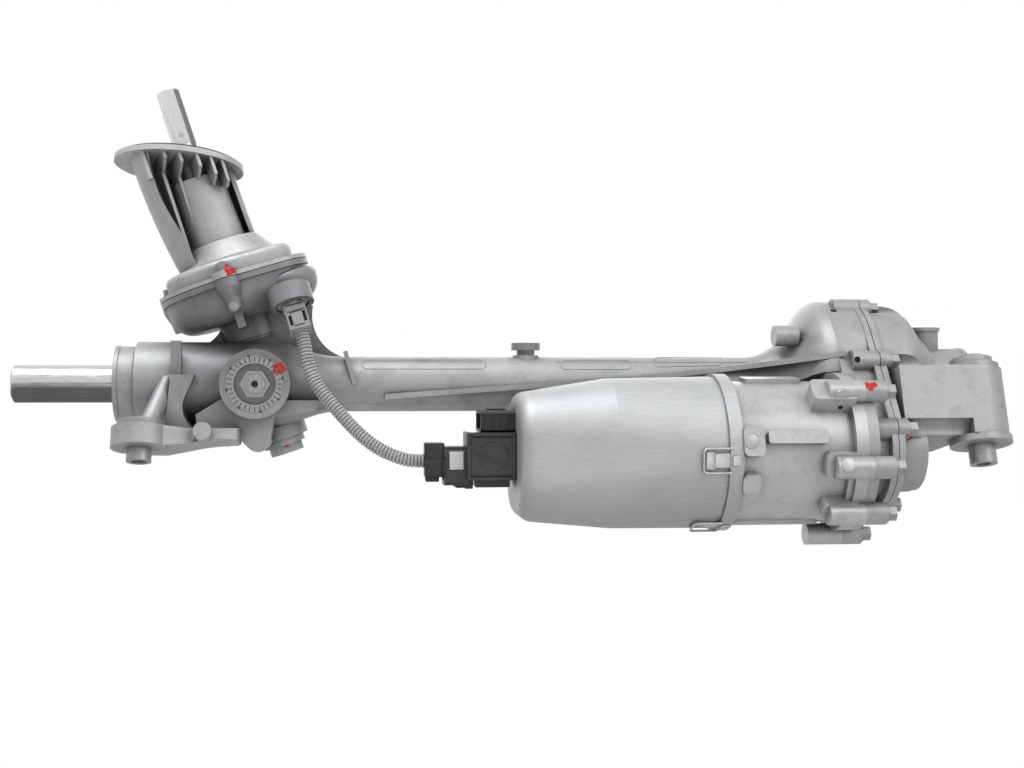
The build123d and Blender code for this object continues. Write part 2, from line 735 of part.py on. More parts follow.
def bulkhead_seal():
    """The soft seal on the bulkhead plate."""
    outer = Ellipse(PLATE_HALF_LENGTH - SEAL_INSET, PLATE_HALF_WIDTH - SEAL_INSET)
    inner = Ellipse(PLATE_HALF_LENGTH - SEAL_INSET - SEAL_WIDTH, PLATE_HALF_WIDTH - SEAL_INSET - SEAL_WIDTH)
    return TOWER * extrude(plate_frame() * (outer - inner), SEAL_THICK)


# rack bar and pinion


def rack_tooth_gap(pitch_x):
    """One gap between two rack teeth, cut across the bar, centred at x."""
    slope = math.tan(math.radians(PRESSURE_ANGLE))
    pitch_half = math.pi * NORMAL_MODULE / 4
    tip = MESH_DEPTH + RACK_ADDENDUM
    root = MESH_DEPTH - PINION_ADDENDUM - TIP_CLEARANCE
    mouth = pitch_half + (RACK_ADDENDUM + 1) * slope
    floor = pitch_half - (PINION_ADDENDUM + TIP_CLEARANCE) * slope
    outline = make_face(
        Polyline(
            (pitch_x - mouth, -tip - 1), (pitch_x - floor, -root),
            (pitch_x + floor, -root), (pitch_x + mouth, -tip - 1), close=True,
        )
    )
    return extrude(Plane.XZ.offset(-RACK_R) * outline, 2 * RACK_R)


def rack_bar():
    """The toothed bar with threaded ends."""
    bar = bar_x(RACK_R, RACK_LEFT, RACK_RIGHT)
    bar = chamfer(bar.edges().filter_by(GeomType.CIRCLE), END_CHAMFER)
    pitch = math.pi * NORMAL_MODULE
    first = math.ceil((TEETH_LEFT - PINION_X) / pitch)
    tip = MESH_DEPTH + RACK_ADDENDUM
    left = PINION_X + (first - 0.5) * pitch
    right = PINION_X + (first + RACK_TEETH - 0.5) * pitch
    bar -= block(left, right, -RACK_R - 1, RACK_R + 1, -RACK_R - 1, -tip)
    for index in range(RACK_TEETH):
        bar -= rack_tooth_gap(PINION_X + (first + index) * pitch)
    for end, out in ((RACK_LEFT, 1), (RACK_RIGHT, -1)):
        depth = out * TIE_ROD_THREAD_DEPTH
        bar -= bar_x(TIE_ROD_THREAD_R, min(end, end + depth) - 1, max(end, end + depth) + 1) & bar_x(
            TIE_ROD_THREAD_R + 1, min(end, end + depth), max(end, end + depth)
        )
    return bar


def involute(base_r, angle):
    """A point of the involute of a circle, at a roll angle."""
    return Vector(
        base_r * (math.cos(angle) + angle * math.sin(angle)),
        base_r * (math.sin(angle) - angle * math.cos(angle)),
    )


def pinion_section():
    """The pinion's transverse section, with one tooth on the local x axis."""
    transverse = math.atan(math.tan(math.radians(PRESSURE_ANGLE)) / math.cos(HELIX))
    base_r = PITCH_R * math.cos(transverse)
    tip_r = PITCH_R + PINION_ADDENDUM
    root_r = PITCH_R - RACK_ADDENDUM - TIP_CLEARANCE
    roll_tip = math.sqrt((tip_r / base_r) ** 2 - 1)
    opening = math.tan(transverse) - transverse
    half_tooth = math.pi / (2 * PINION_TEETH) - BACKLASH / (2 * PITCH_R)
    start = math.degrees(half_tooth + opening)
    steps = 6
    flank = [involute(base_r, roll_tip * i / steps).rotate(Axis.Z, -start) for i in range(steps + 1)]
    mirror = [Vector(p.X, -p.Y) for p in flank]
    foot = Vector(root_r - 1, 0).rotate(Axis.Z, -start)
    tooth = make_face(
        Line(foot, flank[0])
        + Spline(*flank)
        + ThreePointArc(flank[-1], Vector(tip_r, 0), mirror[-1])
        + Spline(*reversed(mirror))
        + Line(mirror[0], Vector(foot.X, -foot.Y))
        + Line(Vector(foot.X, -foot.Y), foot)
    )
    section = Circle(root_r)
    for index in range(PINION_TEETH):
        section += Rot(0, 0, index * 360 / PINION_TEETH) * tooth
    return section


def pinion_shaft():
    """The helical pinion with its journals and the socket for the input shaft, in the tower frame."""
    lead = math.pi * 2 * PITCH_R / math.tan(HELIX)
    twist = 360 * PINION_FACE / lead
    teeth = Solid.extrude_linear_with_rotation(
        pinion_section().face(), center=(0, 0, 0), normal=(0, 0, PINION_FACE), angle=twist
    )
    towards_rack = -90
    teeth = Pos(0, 0, -PINION_FACE / 2) * Rot(0, 0, towards_rack - twist / 2) * teeth
    low_end = LOWER_BEARING_TOP - LOWER_BEARING_LENGTH - 2
    shaft = bar_z(LOWER_JOURNAL_R, low_end, -PINION_FACE / 2)
    shaft += bar_z(UPPER_JOURNAL_R, PINION_FACE / 2, UPPER_BEARING_LOW + UPPER_BEARING_LENGTH)
    shaft += bar_z(SHAFT_R + 3, UPPER_BEARING_LOW + UPPER_BEARING_LENGTH, PINION_TOP)
    shaft += teeth
    shaft -= bar_z(TORSION_BAR_HEAD_R + RUNNING, 0, PINION_TOP + 1)
    return TOWER * shaft


def input_shaft():
    """The input shaft with its flats, in the tower frame."""
    shaft = bar_z(SHAFT_R, SHAFT_STEP, SHAFT_TOP)
    shaft = chamfer(shaft.edges().sort_by(Axis.Z)[-1], 1.4)
    shaft += bar_z(SHAFT_JOURNAL_R, SHAFT_LOW, SHAFT_STEP)
    shaft -= bar_z(SHAFT_BORE_R, SHAFT_LOW - 1, SHAFT_TOP - 24)
    shaft -= block(-SHAFT_R, SHAFT_R, -SHAFT_R - 1, -(SHAFT_R - SHAFT_FLAT), SHAFT_STEP, SHAFT_TOP + 1)
    for side in (-55, 235):
        cut = block(-SHAFT_R, SHAFT_R, SHAFT_R - TIP_FLAT, SHAFT_R + 2, TIP_FLAT_LOW, SHAFT_TOP + 1)
        shaft -= Rot(0, 0, side + 180) * cut
    shaft -= pin_hole(PIN_R)
    return TOWER * shaft


def pin_hole(radius):
    """The cross hole for the pin through the input shaft, in the tower frame."""
    return Pos(0, 0, PIN_HEIGHT) * Rot(90, 0, 0) * Cylinder(radius, 4 * SHAFT_R)


def torsion_bar():
    """The torsion bar, pinned to the input shaft, in the tower frame."""
    bar = bar_z(TORSION_BAR_R, 4, SHAFT_TOP - 26)
    bar += bar_z(TORSION_BAR_HEAD_R, 4, 20) + bar_z(SHAFT_BORE_R, PIN_HEIGHT - 8, SHAFT_TOP - 26)
    return TOWER * (bar - pin_hole(PIN_R))


def shaft_pin():
    """The pin that joins the torsion bar to the input shaft."""
    reach = SHAFT_R - SHAFT_FLAT
    return TOWER * (pin_hole(PIN_R) & block(-5, 5, -reach, reach, PIN_HEIGHT - 5, PIN_HEIGHT + 5))


def ball_ring(outer, inner, low, high, ball_r, balls):
    """The outer ring and the balls of a bearing, along the local third axis, and the groove they run in."""
    middle = (outer + inner) / 2
    height = (low + high) / 2
    groove = Pos(0, 0, height) * Torus(middle, ball_r)
    solids = [bar_z(outer, low, high) - bar_z(middle + 0.5 * ball_r, low - 1, high + 1) - groove]
    for index in range(balls):
        angle = 2 * math.pi * index / balls
        centre = Pos(middle * math.cos(angle), middle * math.sin(angle), height)
        solids.append(centre * Sphere(ball_r - RUNNING))
    return solids, groove


def plain_ring(outer, inner, low, high):
    """A ring along the local third axis."""
    return bar_z(outer, low, high) - bar_z(inner, low - 1, high + 1)


def pinion_plug():
    """The threaded plug under the pinion, with its flange and hexagon."""
    plug = bar_z(PLUG_R, PLUG_SEAT, LOWER_BEARING_TOP - LOWER_BEARING_LENGTH - 4)
    plug += bar_z(PLUG_R + 3, PLUG_SEAT - PLUG_FLANGE, PLUG_SEAT)
    plug += hex_bar(PLUG_HEX_FLATS, PLUG_SEAT - PLUG_FLANGE - PLUG_HEX_HEIGHT, PLUG_SEAT - PLUG_FLANGE)
    plug -= bar_z(LOWER_JOURNAL_R + 1.5, PLUG_SEAT + 2, 0)
    return TOWER * plug


# yoke group, along w through the yoke boss


def rack_yoke():
    """The yoke with its saddle and spring pocket."""
    yoke = bar_z(YOKE_R, 3, YOKE_BACK, YOKE_X, 0)
    yoke -= bar_x(RACK_R + LINER + RUNNING, YOKE_X - 30, YOKE_X + 30)
    yoke -= bar_z(SPRING_R + 0.6, YOKE_BACK - spring_stack(), YOKE_BACK + 1, YOKE_X, 0)
    for height in (22.0, 28.0):
        groove = bar_z(YOKE_R + 1, height, height + 2, YOKE_X, 0)
        yoke -= groove - bar_z(YOKE_R - 1.6, height, height + 2, YOKE_X, 0)
    return yoke


def yoke_liner():
    """The thin bearing foil between the yoke and the bar."""
    shell = bar_x(RACK_R + LINER + RUNNING, YOKE_X - 15, YOKE_X + 15)
    shell -= bar_x(RACK_R + RUNNING, YOKE_X - 16, YOKE_X + 16)
    return shell & block(YOKE_X - 15, YOKE_X + 15, -11.5, 11.5, 3, 30)


def yoke_rings():
    """The rubber rings that quieten the yoke."""
    rings = []
    for height in (22.0, 28.0):
        ring = bar_z(YOKE_R, height, height + 2, YOKE_X, 0)
        rings.append(ring - bar_z(YOKE_R - 1.6, height, height + 2, YOKE_X, 0))
    return rings


def yoke_plug():
    """The castellated plug that closes the yoke bore."""
    plug = bar_z(YOKE_PLUG_R, YOKE_PLUG_BACK, YOKE_PLUG_FACE)
    plug -= bar_z(YOKE_POCKET_R, YOKE_PLUG_FACE - YOKE_POCKET_DEPTH, YOKE_PLUG_FACE + 1)
    plug -= bar_z(ADJUSTER_R, YOKE_PLUG_BACK - 1, YOKE_PLUG_FACE + 1)
    slit = block(
        YOKE_POCKET_R + 1.2, YOKE_PLUG_R - 1.4, -0.35, 0.35, YOKE_PLUG_FACE - 1.2, YOKE_PLUG_FACE + 1
    )
    for index in range(YOKE_SLITS):
        plug -= Rot(0, 0, index * 360 / YOKE_SLITS) * slit
    for index in range(8):
        notch = bar_z(1.3, YOKE_PLUG_FACE - 1.5, YOKE_PLUG_FACE + 1, YOKE_PLUG_R, 0)
        plug -= Rot(0, 0, 12 + index * 45) * notch
    return Pos(YOKE_X, 0, 0) * plug


def yoke_adjuster():
    """The hexagonal adjuster in the plug's centre."""
    floor = YOKE_PLUG_FACE - YOKE_POCKET_DEPTH
    screw = bar_z(ADJUSTER_R, YOKE_PLUG_BACK - 1, floor) + hex_bar(HEX_FLATS, floor, floor + HEX_HEIGHT)
    screw += bar_z(HEX_COLLAR_R, floor, floor + HEX_HEIGHT + 1)
    screw -= bar_z(HEX_HOLE_R, floor - 2, floor + HEX_HEIGHT + 2)
    return Pos(YOKE_X, 0, 0) * screw


def spring_stack():
    """How deep the spring's seat in the yoke is."""
    return 2.0


def yoke_spring():
    """The stack of conical disc springs between the yoke and the adjuster."""
    low = YOKE_BACK - spring_stack()
    pitch = (YOKE_PLUG_BACK - 1 - low) / SPRING_DISCS
    discs = []
    for index in range(SPRING_DISCS):
        inner, outer = (pitch - SPRING_THICK, 0.0) if index % 2 == 0 else (0.0, pitch - SPRING_THICK)
        disc = turned_z(
            [
                (SPRING_BORE_R, inner), (SPRING_R, outer),
                (SPRING_R, outer + SPRING_THICK), (SPRING_BORE_R, inner + SPRING_THICK),
            ]
        )
        discs.append(Pos(YOKE_X, 0, low + index * pitch) * disc)
    return discs


# belt drive and ball nut


def nut_and_bearing():
    """The ball nut, its bearing, the ring nut and the driven pulley."""
    ring_left = NUT_BEARING_LEFT + NUT_BEARING_LENGTH
    nut = bar_x(NUT_R, NUT_LEFT, NUT_RIGHT) - bar_x(RACK_R + RUNNING, NUT_LEFT - 1, NUT_RIGHT + 1)
    nut += bar_x(NUT_R + 6, NUT_BEARING_LEFT + NUT_BEARING_LENGTH + 1, PULLEY_LEFT - 1) - bar_x(
        NUT_R - 1, NUT_LEFT, PULLEY_LEFT
    )
    along = Pos(NUT_BEARING_LEFT, 0, 0) * Rot(0, 90, 0)
    bearing, groove = ball_ring(NUT_BEARING_R, NUT_R, 0, NUT_BEARING_LENGTH, NUT_BALL_R, NUT_BALLS)
    bearing = [along * s for s in bearing]
    nut += bar_x((NUT_BEARING_R + NUT_R) / 2 - NUT_BALL_R / 2, NUT_BEARING_LEFT, ring_left) - bar_x(
        NUT_R - 1, NUT_LEFT, PULLEY_LEFT
    )
    nut -= along * groove
    ring_nut = bar_x(NUT_BEARING_R, ring_left, CASE_JOINT) - bar_x(NUT_R + 7.5, ring_left - 1, CASE_JOINT + 1)
    pulley = toothed_wheel(DRIVEN_R, DRIVEN_TEETH, PULLEY_HUB_R)
    pulley += bar_x(PULLEY_HUB_R + 1, PULLEY_LEFT + 7, PULLEY_LEFT + 13) - bar_x(
        NUT_R, PULLEY_LEFT, PULLEY_LEFT + PULLEY_WIDTH
    )
    return nut, bearing, ring_nut, pulley


def toothed_wheel(radius, teeth, bore):
    """A belt pulley's rim with shallow teeth and two low flanges, about the rack's axis."""
    rim = Circle(radius)
    gap = Pos(radius, 0) * Circle(0.8)
    gaps = [Rot(0, 0, index * 360 / teeth) * gap for index in range(teeth)]
    rim -= gaps
    rim -= Circle(bore)
    return extrude(across(PULLEY_LEFT) * rim, PULLEY_WIDTH)


def drive_pulley():
    """The small pulley on the rotor shaft."""
    return Pos(0, MOTOR_V, MOTOR_W) * toothed_wheel(DRIVE_R, DRIVE_TEETH, ROTOR_SHAFT_R)


def case_gasket():
    """The gasket between the two castings."""
    outline = case_outline(CASE_R, 42.0) - case_outline(CASE_R - 7, 33.0)
    for point in CASE_BOLTS:
        outline -= Pos(*point) * Circle(CASE_BOLT_R + 0.4)
    return extrude(across(CASE_JOINT) * outline, GASKET)


def drive_belt():
    """The belt round both pulleys."""
    outer = case_outline(DRIVEN_R + BODY_GAP + BELT_THICK, DRIVE_R + BODY_GAP + BELT_THICK)
    inner = case_outline(DRIVEN_R + BODY_GAP, DRIVE_R + BODY_GAP)
    return extrude(across(PULLEY_LEFT + 1.5) * (outer - inner), PULLEY_WIDTH - 3)


# motor


def motor_housing():
    """The motor's cast housing with its flange, bosses, ribs and lugs."""
    def motor_bar(radius, left, right):
        return bar_x(radius, left, right, MOTOR_V, MOTOR_W)

    body = motor_bar(MOTOR_BODY_R, MOTOR_LEFT, BELL_END - 8)
    body += motor_bar(MOTOR_R - 2.5, MOTOR_LEFT, BAND_LEFT + 1)
    body += motor_bar(MOTOR_R, BAND_LEFT, BAND_RIGHT + 1.5)
    body += motor_bar(MOTOR_R + RIM_WIDTH, BELL_END - 9, BELL_END)
    body += motor_bosses(BELL_END - 26, BELL_END) + motor_details()
    body -= motor_bar(MOTOR_BORE_R, MOTOR_LEFT - 1, BELL_END - 6)
    body -= motor_bar(MOTOR_BEARING_R, BELL_END - 7, BELL_END + 1)
    for v, w in MOTOR_BOLTS:
        body -= bar_x(CASE_BOLT_R, BELL_END - 12, BELL_END + 1, v, w)
    end_shield = motor_bar(MOTOR_BORE_R, BAND_RIGHT, BAND_RIGHT + 5) - motor_bar(REAR_BEARING_R, 0, 600)
    for v, w in BOARD_POSTS:
        end_shield += bar_x(4, BOARD_X + 2, BAND_RIGHT + 1, MOTOR_V + v, MOTOR_W + w)
    return body + end_shield


def motor_pad(left, right, angle, width, reach, corner):
    """A raised cast pad on the motor housing, at an angle round it."""
    pad = Box(right - left, width, reach, align=(Align.MIN, Align.CENTER, Align.MIN))
    pad = fillet(pad.edges().filter_by(Axis.Z), corner)
    return Pos(left, MOTOR_V, MOTOR_W) * Rot(angle, 0, 0) * Pos(0, 0, MOTOR_R - 6) * pad


def motor_details():
    """The bosses, bars and lugs on the motor housing."""
    parts = motor_pad(BAND_RIGHT, 432, -10, 21, 9.5, 4)
    parts += motor_pad(BAND_RIGHT, 430, 20, 14, 9.5, 4)
    parts += motor_pad(435, 478, -13, 9, 9, 2)
    parts += motor_pad(476, BELL_END, 7, 18, 11.5, 4)
    parts += motor_pad(470, 503, -46, 20, 15, 4)
    parts += motor_pad(430, 472, -84, 16, 5.4, 2)
    parts += motor_pad(BAND_RIGHT, 483, 84, 26, 4.2, 2)
    parts += motor_pad(477, 505, 42, 14, 12, 4)
    rib = bar_x(MOTOR_BODY_R + 4, 494, 500, MOTOR_V, MOTOR_W)
    rib &= block(490, 505, MOTOR_V - 44, MOTOR_V - 8, MOTOR_W + 20, 140)
    return parts + rib


def control_unit_cover():
    """The sheet cover over the control unit, lofted from an oval to the motor's circle."""
    outer = cover_form(0.0)
    inner = cover_form(COVER_SHEET)
    return outer - inner


def cover_form(inset):
    """The cover's outside, or its inside at an inset."""
    def section(x, half_v, half_w, corner, v):
        return across(x) * (
            Pos(v, MOTOR_W) * RectangleRounded(2 * (half_v - inset), 2 * (half_w - inset), corner - inset)
        )

    tip = section(COVER_LEFT + inset, COVER_TIP_R, COVER_TIP_R + 3, 30, COVER_TIP_V)
    middle = section(330, MOTOR_R - 1.5, MOTOR_R - 1.5, 44, MOTOR_V)
    end = section(BAND_LEFT, MOTOR_R, MOTOR_R, MOTOR_R - 0.2, MOTOR_V)
    form = loft([tip, middle], ruled=True) + loft([middle, end], ruled=True)
    return fillet(form.faces().sort_by(Axis.X)[0].edges(), COVER_CORNER - inset)


def clamp_band():
    """The band that holds the cover to the motor housing."""
    outer = bar_x(MOTOR_R + BAND_THICK, BAND_LEFT, BAND_RIGHT, MOTOR_V, MOTOR_W)
    return outer - bar_x(MOTOR_R, BAND_LEFT - 1, BAND_RIGHT + 1, MOTOR_V, MOTOR_W)


def band_clips():
    """The two wire clips that lock the band, each a bent wire on the band."""
    reach, half = CLIP_REACH, CLIP_HALF
    top = math.sqrt((MOTOR_R + BAND_THICK + CLIP_WIRE_R) ** 2 - CLIP_HALF**2)
    path = FilletPolyline((0, -half), (-reach, -half), (-reach, half), (0, half), radius=CLIP_CORNER)
    wire = sweep(Plane(origin=path @ 0, z_dir=path % 0) * Circle(CLIP_WIRE_R), path=path)
    return [
        Pos(BAND_LEFT + 1, MOTOR_V, MOTOR_W) * Rot(angle, 0, 0) * Pos(0, 0, top + 0.02) * wire
        for angle in (3.5, 66)
    ]


def stator():
    """The stator's laminations with their winding slots."""
    section = Circle(MOTOR_BORE_R) - Circle(STATOR_BORE_R)
    slot = Pos((MOTOR_BORE_R + STATOR_BORE_R) / 2, 0) * RectangleRounded(13, 7, 2)
    for index in range(STATOR_TEETH):
        section -= Rot(0, 0, index * 360 / STATOR_TEETH) * slot
    return Pos(0, MOTOR_V, MOTOR_W) * extrude(across(STATOR_LEFT) * section, STATOR_RIGHT - STATOR_LEFT)


def rotor():
    """The rotor with its magnets, on its shaft."""
    body = bar_x(ROTOR_R, STATOR_LEFT + 2, STATOR_RIGHT - 2, MOTOR_V, MOTOR_W)
    return body - bar_x(ROTOR_SHAFT_R, STATOR_LEFT, STATOR_RIGHT, MOTOR_V, MOTOR_W)


def rotor_shaft():
    """The rotor's shaft, which carries the small pulley."""
    return bar_x(ROTOR_SHAFT_R, ROTOR_SHAFT_LEFT, PULLEY_LEFT + PULLEY_WIDTH + 1, MOTOR_V, MOTOR_W)


def motor_bearings():
    """The rotor's front and rear bearings."""
    bearings = []
    for radius, left, right in (
        (MOTOR_BEARING_R, BELL_END - 6, BELL_END), (REAR_BEARING_R, BAND_RIGHT, BAND_RIGHT + 5)
    ):
        ring = bar_x(radius, left, right, MOTOR_V, MOTOR_W)
        bearings.append(ring - bar_x(ROTOR_SHAFT_R + RUNNING, left - 1, right + 1, MOTOR_V, MOTOR_W))
    return bearings


def control_board():
    """The control unit's circuit board with its largest components."""
    board = bar_x(43, BOARD_X, BOARD_X + 2, MOTOR_V, MOTOR_W)
    for v, w in ((-18, 0), (0, -18), (18, 4), (2, 20)):
        board += bar_x(7, BOARD_X - 22, BOARD_X, MOTOR_V + v, MOTOR_W + w)
    return board


# end casting


def end_housing():
    """The domed end casting with the belt lobe, the bellows collar and the mounting arm."""
    start = CASE_JOINT + GASKET
    with BuildLine() as outline:
        Polyline((start, 0), (start, CASE_R), (DOME_START, CASE_R))
        Spline(
            (DOME_START, CASE_R), *DOME_CURVE, (END_SEAT_LEFT, END_COLLAR_R), tangents=((1, -0.12), (1, 0))
        )
        Polyline(
            (END_SEAT_LEFT, END_COLLAR_R), (END_SEAT_RIGHT, END_COLLAR_R),
            (END_SEAT_RIGHT + 0.6, END_COLLAR_LIP_R), (END_COLLAR_RIGHT, END_COLLAR_LIP_R),
            (END_COLLAR_RIGHT, 0), (start, 0),
        )
    dome = turned_x(outline.line)
    rim = extrude(across(start) * case_outline(CASE_R + RIM_WIDTH, 42.0), RIM_THICK)
    bridge = extrude(across(start) * case_outline(CASE_R - 2, LOBE_R), DOME_START - start)
    roof = case_outline(DRIVEN_R + BELT_THICK + 5.5, LOBE_R - 1)
    roof = extrude(across(start) * roof, pulley_room() + 4 - start)
    lobe = bar_x(LOBE_R, start, LOBE_END, MOTOR_V, MOTOR_W)
    lobe = fillet(lobe.faces().sort_by(Axis.X)[-1].edges(), LOBE_CORNER)
    spigot = bar_v(SPIGOT_R, 20, SPIGOT_TOP, SPIGOT_X, 0)
    spigot += bar_v(SPIGOT_R + 1.3, SPIGOT_TOP - 2.8, SPIGOT_TOP, SPIGOT_X, 0)
    body = dome + rim + bridge + roof + lobe + spigot + case_bosses(start, start + CASE_BOLT_SEAT)
    body += GEAR.inverse() * mount_arm()
    return body - end_bores()


def pulley_room():
    """How far right the belt's room reaches."""
    return PULLEY_LEFT + PULLEY_WIDTH + 2


def mount_arm():
    """The arm with the right mounting eye, in the row frame."""
    height = ARM_HIGH - ARM_LOW
    eye = bar_z(ARM_R, ARM_LOW, ARM_HIGH, RIGHT_MOUNT_X, 0)
    body = make_face(
        Polyline(
            (RIGHT_MOUNT_X, -ARM_R), (RIGHT_MOUNT_X - ARM_R * 0.7, ARM_R * 0.71), (588, 40), (550, 40),
            (545, 0), (545, -19), close=True,
        )
    )
    return eye + extrude(Plane.XY.offset(ARM_LOW) * body, height)


def end_bores():
    """Everything that is bored out of the end casting."""
    start = CASE_JOINT + GASKET
    bores = extrude(
        across(start - 1) * case_outline(DRIVEN_R + BELT_THICK + 1.6, DRIVE_R + BELT_THICK + 2.5),
        pulley_room() - start + 1,
    )
    bores += bar_x(NUT_R + 3, start, NUT_RIGHT + 3)
    bores += bar_x(RACK_BORE_R, start, END_COLLAR_RIGHT + 1)
    bores += bar_x(COLLAR_RECESS_R, END_COLLAR_RIGHT - COLLAR_RECESS_DEPTH, END_COLLAR_RIGHT + 1)
    for v, w in CASE_BOLTS:
        bores += bar_x(CASE_BOLT_R + 0.4, start - 1, start + CASE_BOLT_SEAT + 1, v, w)
        bores += bar_x(BOLT_POCKET_R, start + CASE_BOLT_SEAT, start + 60, v, w)
    bores += GEAR.inverse() * bar_z(ARM_BORE_R, ARM_LOW - 1, ARM_HIGH + 1, RIGHT_MOUNT_X, 0)
    return bores


# mounting sleeves and bushes, in the row frame


def left_mount_sleeve():
    """The steel sleeve in the left mounting eye."""
    return bar_z(LEFT_SLEEVE_R, 0, LEFT_BOSS_HIGH) - bar_z(BOLT_BORE_R, -1, LEFT_BOSS_HIGH + 1)


def right_mount_sleeve():
    """The steel sleeve through the right bush."""
    sleeve = bar_z(RIGHT_SLEEVE_R, RIGHT_SLEEVE_LOW, RIGHT_SLEEVE_HIGH, RIGHT_MOUNT_X, 0)
    return sleeve - bar_z(BOLT_BORE_R, RIGHT_SLEEVE_LOW - 1, RIGHT_SLEEVE_HIGH + 1, RIGHT_MOUNT_X, 0)


def right_mount_bush():
    """The two flanged rubber and metal halves of the right bush, and their core."""
    lower = bar_z(BUSH_FLANGE_R, ARM_LOW - BUSH_FLANGE_THICK, ARM_LOW, RIGHT_MOUNT_X, 0)
    upper = bar_z(BUSH_FLANGE_R - 3, ARM_HIGH, ARM_HIGH + 4, RIGHT_MOUNT_X, 0)
    collar = bar_z(BUSH_COLLAR_R, ARM_HIGH, BUSH_COLLAR_HIGH, RIGHT_MOUNT_X, 0)
    core = bar_z(ARM_BORE_R, ARM_LOW, ARM_HIGH, RIGHT_MOUNT_X, 0)
    bush = lower + upper + collar + core
    return bush - bar_z(RIGHT_SLEEVE_R, RIGHT_SLEEVE_LOW - 1, RIGHT_SLEEVE_HIGH + 1, RIGHT_MOUNT_X, 0)


# fasteners


def hex_bolt(shank_r, shank, head_flats, head):
    """A hexagon flange bolt, its head standing at the origin along the local third axis."""
    bolt = bar_z(shank_r, -shank, 0) + bar_z(head_flats * 0.66, 0, 1.6) + hex_bar(head_flats, 1.6, head)
    return bolt


def case_bolts():
    """The bolts that hold the end casting, heads on its bosses."""
    seat = CASE_JOINT + GASKET + CASE_BOLT_SEAT
    bolt = hex_bolt(CASE_BOLT_R, CASE_BOLT_SEAT + 12, BOLT_FLATS, BOLT_HEAD)
    return [Pos(seat, v, w) * Rot(0, 90, 0) * bolt for v, w in CASE_BOLTS]


def motor_bolts():
    """The bolts that hold the motor, heads on the gear case."""
    seat = BELL_END + MOTOR_BOLT_SEAT
    bolt = hex_bolt(CASE_BOLT_R, MOTOR_BOLT_SEAT + 10, BOLT_FLATS, BOLT_HEAD)
    return [Pos(seat, v, w) * Rot(0, 90, 0) * bolt for v, w in MOTOR_BOLTS]


def tower_bolts():
    """The screws that hold the tower cover."""
    bolt = hex_bolt(TOWER_BOLT_R, TOWER_BOLT_SEAT + 16, 8, 6)
    return [TOWER * Pos(x, y, CAN_TOP + TOWER_BOLT_SEAT) * bolt for x, y in TOWER_BOLTS]


def vent_button():
    """The breather on the tube."""
    seat = TUBE_R + 1.2
    stem = bar_v(VENT_STEM_R, seat, seat + 4, VENT_X, 0) + bar_v(VENT_CAP_R, seat + 4, seat + 9.5, VENT_X, 0)
    return stem + bar_v(VENT_STEM_R - 2, seat - 6, seat, VENT_X, 0)


# connectors and harness


def connector_block():
    """The black signal connector on the control unit's end."""
    body = block(228.5, COVER_LEFT, -67.5, -35, 52, 88)
    return fillet(body.edges().filter_by(Axis.X), 4)


def power_connector():
    """The black power connector above the signal connector, open to the left."""
    v, w, wall = POWER_V, POWER_W, 2.3
    half_v, half_w = POWER_HALF_V, POWER_HALF_W
    body = block(POWER_LEFT, COVER_LEFT, v - half_v, v + half_v, w - half_w, w + half_w)
    body = fillet(body.edges().filter_by(Axis.X), 3)
    half_v, half_w = half_v - wall, half_w - wall
    body -= block(POWER_LEFT - 1, POWER_FLOOR, v - half_v, v + half_v, w - half_w, w + half_w)
    for pin in (-7, 7):
        low, high = w + pin - 0.6, w + pin + 0.6
        body += block(POWER_FLOOR - PIN_REACH, POWER_FLOOR + 1, v - 3.2, v + 3.2, low, high)
    return body


def harness_plug():
    """The harness plug in the signal connector."""
    grip = fillet(block(211, 228.5, -72, -46, 58, 82).edges().filter_by(Axis.X), 2.5)
    return grip + fillet(block(198, 211, -66, -45, 61, 79).edges().filter_by(Axis.X), 3)


SENSOR_SOCKET = (103.0, 59.0, 34.7)
CONDUIT_POINTS = [
    (109.4, 37.9, 42.0), (112.29, 28.35, 45.29), (114.3, 14.5, 47.5), (121.0, -1.5, 49.8),
    (135.0, -18.5, 53.0), (150.0, -35.0, 57.8), (163.5, -45.8, 62.6), (178.5, -52.6, 66.6),
    (188.0, -55.0, 68.0), (198.0, -55.0, 68.0),
]


def conduit_path():
    """The conduit's path: straight runs with tangent arcs."""
    points = [Vector(*p) for p in CONDUIT_POINTS]
    radii = []
    for before, here, after in zip(points, points[1:], points[2:]):
        turn = math.radians((here - before).get_angle(after - here))
        shorter = min((here - before).length, (after - here).length)
        radii.append(0.45 * shorter / math.tan(turn / 2))
    print("conduit radii", [round(r, 1) for r in radii])
    return FilletPolyline(*points, radius=radii)


def harness_conduit():
    """The conduit from the sensor plug to the harness plug."""
    path = conduit_path()
    start = Plane(origin=path @ 0, z_dir=path % 0)
    tube = sweep(start * Circle(CONDUIT_R), path=path)
    section = math.pi * CONDUIT_R**2
    print("conduit volume", round(tube.volume), "section times length", round(section * path.length))
    return tube


def sensor_plug():
    """The grey plug that enters the sensor socket."""
    mouth, inward = socket_axis()
    end = Vector(*CONDUIT_POINTS[0])
    frame = Plane(origin=end, z_dir=inward)
    length = (mouth - end).length
    grip = frame * Box(17, 15, length * 0.85, align=UP)
    return grip + frame * Pos(0, 0, length * 0.6) * Cylinder(8.5, length * 0.4 + SOCKET_DEPTH, align=UP)


def row(shape):
    """Moves a gear-frame solid, or a list of them, into the row frame."""
    if isinstance(shape, list):
        return Compound([GEAR * s for s in shape])
    return GEAR * shape


def save(name, shape):
    """Writes one sub-part."""
    if isinstance(shape, list):
        shape = Compound(shape)
    export_step(shape, f"parts/{name}.step")


def travel():
    """The bar's travel to each side, with the turns of the nut that go with it."""
    return [(reach, -reach / SCREW_LEAD) for reach in (-TRAVEL_LEFT, TRAVEL_RIGHT)]


